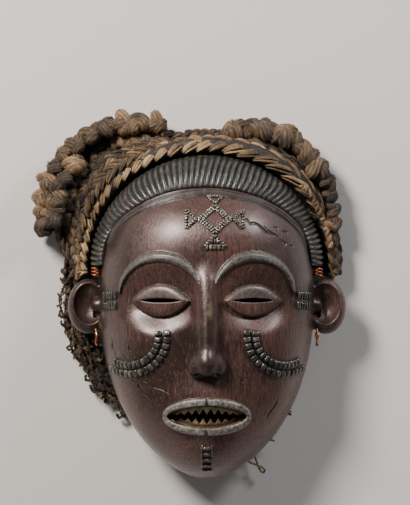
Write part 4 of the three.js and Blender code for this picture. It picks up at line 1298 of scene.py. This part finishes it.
def add_cap_top():
    """A short plait between the two knotted braids, along the top of the wig."""
    fine = np.linspace(122, 64, 130)
    path = wig_edge(fine) * [0.99, 1, 0] + [0, 0, CAP_EDGE - 1.5]
    path[:, 1] += 2.4 * smooth(122, 112, fine) * smooth(64, 72, fine)
    out = unit(np.array([0, 0.7, 1.0]))
    bundle = Strands()
    shade_core(bundle, path - out * 1.5, 2.4)
    plait(bundle, path - out * 0.6, out, (0, 1), 3.4, 6.0, 2.6, (0.42, 0.34), 3)
    bundle.finish("cap_top", fibre_material, "hair_cap")


def add_cap_plaits():
    """Three rows of slanting locks over the cap."""
    fine = np.linspace(186, -6, 380)
    span = np.linalg.norm((wig_edge(fine) - plait_centre(fine))[:, :2], axis=1)
    even = np.linspace(0, 1, len(fine))
    up = unit(stack(0.5 * cosd(fine), 0.5 * sind(fine), 1))
    for row, share in enumerate((0.2, 0.46, 0.7)):
        bundle = Strands()
        width = np.clip(0.2 * span, 2.4, 5.6) * (1 - 0.12 * row)
        path = cap_point(fine, share + 0.03 * np.sin(fine / 17 + row), width * 0.3 - 0.6 * row)
        recess = smooth(108, 128, fine) * smooth(178, 160, fine)
        path[:, 2] += 1.0 * np.sin(fine / 13 + 2 * row) - (0, 1.5, 7.0)[row] * recess
        shade_core(bundle, path - up * 1.8, width * 0.75)
        slope = np.interp(even, (0, 0.45, 0.6, 1), (2.3, 2.6, 4.6, 4.6))
        step = np.interp(even, (0, 0.45, 0.6, 1), (6.5, 7.0, 9.5, 9.0))
        tone = 0.5 - 0.09 * row
        plait(bundle, path, up, even, width, step, slope, (tone + 0.03, tone - 0.05), 3)
        total, at = along_path(path, up)
        places, ups = at(rng.uniform(0, total, 40), rng.uniform(-3, 3, 40), 2.0)
        loose_fibres(bundle, places, ups, 5.0, 0.4)
        bundle.finish("cap_plait_%d" % row, fibre_material, "hair_cap")


def knob(bundle, centre, axis, out, size, tone, slant, lumps, grid=(18, 18)):
    """A knot of fibre: long bulges that cross over each other, each with folds round it."""
    axis, out = unit(np.asarray(axis, float)), unit(np.asarray(out, float))
    third = unit(np.cross(axis, out))
    out = np.cross(third, axis)
    for k in range(lumps):
        spot = 2 * np.pi * (k / lumps + slant)
        tilt = 0.5 + 1.0 * k + rng.normal(0, 0.3)
        wrap = unit(axis * math.cos(tilt) + third * math.sin(tilt) + out * rng.normal(0, 0.2))
        cross = unit(np.cross(wrap, out))
        rise = np.cross(cross, wrap)
        away = 0.0 if lumps == 1 else 0.34 * size
        middle = centre + away * (axis * math.cos(spot) + third * math.sin(spot))
        middle = middle + out * (0.14 * k - 0.1) * size * (lumps > 1)
        bulk = 1.0 if lumps == 1 else rng.uniform(0.84, 0.96)
        radii = np.array([1.08, 0.86, 0.64]) * bulk * size * rng.uniform(0.94, 1.06, 3)
        bundle.lump(middle, (cross, rise, wrap), radii, *grid, tone + rng.normal(0, 0.08))


def add_knotted_braid(side, start, end):
    """Knots along a lobe's edge, which runs from start to end in degrees."""
    lobe_x, lobe_y, across, up = LOBES[side]
    bundle = Strands()

    def place(share, inset, height):
        turn = start + (end - start) * share
        x = lobe_x + (across - inset) * cosd(turn)
        y = lobe_y + (up - inset) * sind(turn)
        return stack(x, y, height)

    # A near-black tube under the knots, so that the gaps between them show dark: painted shade
    ridge = place(np.linspace(0.02, 0.97, 60), 8.0, 10.0)
    bundle.sweep(ridge, 8.5, 12, (0, 0, 1), 1.05, tone=0.02)
    spots, outs = [], []
    for inset, height, scale, count, first, last in KNOT_ROWS[side]:
        for k in range(count):
            share = first + (last - first) * (k + 0.5) / count
            turn = start + (end - start) * share
            size = scale * rng.uniform(0.86, 1.1)
            spot = place(share, inset, max(height, size * 0.95))
            spot = spot + rng.normal(0, 0.07, 3) * size
            axis = (-across * sind(turn), up * cosd(turn), 0)
            out = stack(cosd(turn), sind(turn), 1.4 if height > 15 else 0.3)
            grid = (20, 20) if size > 6.5 else (14, 14)
            # Knots of the right braid are a tenth darker: painted shade for that side
            shade = rng.uniform(0.36, 0.66) - (0.1 if side == "right" else 0.0)
            knob(bundle, spot, axis, out, size, shade, rng.uniform(0, 1), 3, grid)
            spots.append(spot + unit(out) * size * 0.9)
            outs.append(out)
    loose_fibres(bundle, spots, outs, 4.5, 0.45, 3)
    bundle.finish("knots_" + side, fibre_material, "knotted_braid_" + side)


def add_fringe():
    """Twisted and knotted cords of a torn net, from the wig down to the jaw."""
    places = np.array(
        [(-1.2, 30), (-1.27, 8), (-1.25, -18), (-1.13, -42), (-0.98, -62), (-0.78, -78), (-0.7, -86)]
    )
    share = np.linspace(0, 1, len(places))
    bundle = Strands()
    fine = np.linspace(0, 1, 150)
    x = np.interp(fine, share, places[:, 0] * HALF)
    y = np.interp(fine, share, places[:, 1])
    window = np.ones(25) / 25
    x[12:-12], y[12:-12] = np.convolve(x, window, "valid"), np.convolve(y, window, "valid")
    path = stack(x, y, 7.0)
    side = unit(np.cross(np.gradient(path, axis=0), (0, 0, 1.0)))
    full = 1 - 0.6 * fine**2
    for k in range(15):
        sway = (k - 7) / 7 * 8.6 * full + 1.9 * np.sin(fine * rng.uniform(20, 36) + k)
        rise = 3.6 * full * np.sin(fine * rng.uniform(15, 28) + 2.4 * k)
        cord = path + side * sway[:, None] + np.array([0, 0, 1.0]) * rise[:, None]
        cord[:, 2] = np.maximum(cord[:, 2], 3.2)
        end = int(150 * rng.uniform(0.7, 1))
        braid(bundle, cord[:end], 1.3, 2.4, rng.uniform(0.15, 0.46))
        for at in range(4 + k % 9, end - 3, 12):
            axis = cord[at + 1] - cord[at - 1]
            size = rng.uniform(1.7, 2.6)
            knob(bundle, cord[at], axis, (0, 0, 1), size, rng.uniform(0.2, 0.54), 0.5, 2, (9, 8))
        if k in (0, 1, 2, 12, 13, 14):
            outer = side * (-1 if k < 7 else 1)
            for at in range(3 + k % 5, end - 4, 7):
                share = np.linspace(0, 1, 16)[:, None]
                bend = rng.uniform(-0.7, 0.4) + share * rng.uniform(1.4, 4.3)
                reach = rng.uniform(1.4, 4.0) * (1 - 0.35 * share)
                away = unit(outer[at] + rng.normal(0, 0.35, 3) * [1, 1, 0.5])
                along = unit(cord[at + 2] - cord[at - 2])
                curl = cord[at] + reach * (away * (0.6 - np.cos(bend)) + along * np.sin(bend))
                curl[:, 2] = np.maximum(curl[:, 2] + 1.5 + share[:, 0] * rng.normal(0, 2.5), 1.6)
                braid(bundle, curl, rng.uniform(0.8, 1.5), 2.6, rng.uniform(0.22, 0.6))
        spots = cord[10:end:16]
        loose_fibres(bundle, spots, side[10:end:16] * (-1 if k < 7 else 1) + [0, 0, 0.6], 5.0, 0.5)
    bundle.finish("net_fringe", fibre_material, "side_fringe")


def add_wires():
    """Copper loops in the ear lobes and turns of wire at the headband's feet."""
    for side, sign in (("left", -1), ("right", 1)):
        bundle = Strands()
        turn = np.arange(48) * 2 * np.pi / 48
        kink = 0.5 * np.sin(5 * turn)
        ring = stack(kink, 7 * np.cos(turn) - 6.2, (7 + kink) * np.sin(turn))
        bundle.sweep(ring + np.array(LOBE_HOLE) * [sign, 1, 1], WIRE, 10, (1, 0, 0), closed=True)
        bundle.finish("copper_loop_" + side, copper_material, "ear_wire_" + side)
        bundle = Strands()
        foot = BAND_FOOT - 8
        centre = sign * (half_width(foot) + COIL + WIRE + 0.8)
        turn = np.linspace(0, 5 * np.pi, 90)
        rise = foot + (turn / turn[-1] - 0.5) * 6
        coil = stack(centre + COIL * np.cos(turn), rise, 30 + COIL * np.sin(turn))
        bundle.sweep(coil, WIRE, 8, (0, 1, 0))
        bundle.finish("copper_turns_" + side, copper_material, "temple_wire_" + side)


def beside_jaw(y, z, clear):
    taper = RIM_TAPER + (1 - RIM_TAPER) * z / WIDEST
    return np.array([half_width(y / taper) * taper + clear, y, z])


def add_jaw_cords():
    for name, y, radius in (("upper", -0.63 * TO_CHIN, 2.4), ("lower", -0.78 * TO_CHIN, 2.8)):
        bundle = Strands()
        centre = beside_jaw(y, 7, 0.7 * radius)
        knob(bundle, centre, (0.3, 1, 0), (1, 0, 0.6), radius, 0.5, 0.5, 2, (12, 12))
        for k in range(5):
            away = unit(np.array([1.0, 0.5 - 0.4 * k, 0.5]) + rng.normal(0, 0.15, 3))
            share = np.linspace(0, 1, 9)[:, None]
            swing = np.array([0.4, 1.0, 0.3]) * np.sin(3.5 * share + k) * 0.9
            end = centre + away * share * rng.uniform(5.0, 7.5) + swing * share
            braid(bundle, end, 0.9, 1.8, rng.uniform(0.5, 0.75), thick=0.45)
        bundle.finish("cord_end_" + name, fibre_material, "jaw_knot_" + name)
    start = beside_jaw(-0.88 * TO_CHIN, 5, 3)
    turn = np.linspace(0, 1.9 * np.pi, 80)
    along, swing = 9 * (1 - np.cos(turn)), 1.5 * np.sin(2 * turn) + 0.8 * np.sin(turn)
    lift = 3 * turn / turn[-1]
    path = start + stack(0.7 * along + swing, swing - 0.72 * along, lift)
    bundle = Strands()
    braid(bundle, path, 0.8, 2.2, 0.8, thick=0.6, sides=8)
    bundle.finish("jaw_tie", fibre_material, "jaw_cord")


add_wood()
add_headband()
add_ledge()
add_studs()
add_front_plait()
add_cap_ground()
add_cap_wall()
add_cap_top()
add_cap_plaits()
add_knotted_braid("left", 76, 194)
add_knotted_braid("right", 104, -14)
add_fringe()
add_wires()
add_jaw_cords()


def add_floor():
    mesh = bpy.data.meshes.new("floor")
    reach = 4.0
    corners = [(-reach, -reach, 0), (reach, -reach, 0), (reach, reach, 0), (-reach, reach, 0)]
    mesh.from_pydata(corners, [], [(0, 1, 2, 3)])
    mesh.materials.append(floor_material)
    floor = bpy.data.objects.new("floor", mesh)
    bpy.context.scene.collection.objects.link(floor)


LIGHT_TARGET = (0.0, 0.0, 0.05)


def add_light(name, place, size, power_watts, color):
    light = bpy.data.lights.new(name, "AREA")
    light.shape = "DISK"
    light.size = size
    light.energy = power_watts
    light.color = color
    holder = bpy.data.objects.new(name, light)
    holder.location = place
    aim = Vector(LIGHT_TARGET) - Vector(place)
    holder.rotation_mode = "QUATERNION"
    holder.rotation_quaternion = aim.to_track_quat("-Z", "Y")
    bpy.context.scene.collection.objects.link(holder)


def add_camera():
    camera = bpy.data.cameras.new("camera")
    camera.sensor_fit = "VERTICAL"
    camera.sensor_height = 24
    camera.lens = 102.3
    camera.clip_start = 0.05
    camera.clip_end = 20
    holder = bpy.data.objects.new("camera", camera)
    middle = to_row([-1.4, 34.0, 40.0])
    holder.location = Vector(middle) + Vector((0, 0, 1.55))
    bpy.context.scene.collection.objects.link(holder)
    bpy.context.scene.camera = holder


add_floor()
add_light("key", (-0.78, 0.97, 1.13), 0.5, 52, (1.0, 0.91, 0.85))
add_light("top_right", (0.95, 1.0, 0.68), 0.35, 13, (0.98, 0.97, 1.0))
add_light("low", (-0.3, -1.1, 0.9), 0.8, 1.6, (1.0, 0.94, 0.88))
world = bpy.data.worlds.new("studio")
world.use_nodes = True
background = world.node_tree.nodes["Background"]
background.inputs["Color"].default_value = (0.86, 0.84, 0.82, 1)
background.inputs["Strength"].default_value = 0.1
bpy.context.scene.world = world
add_camera()
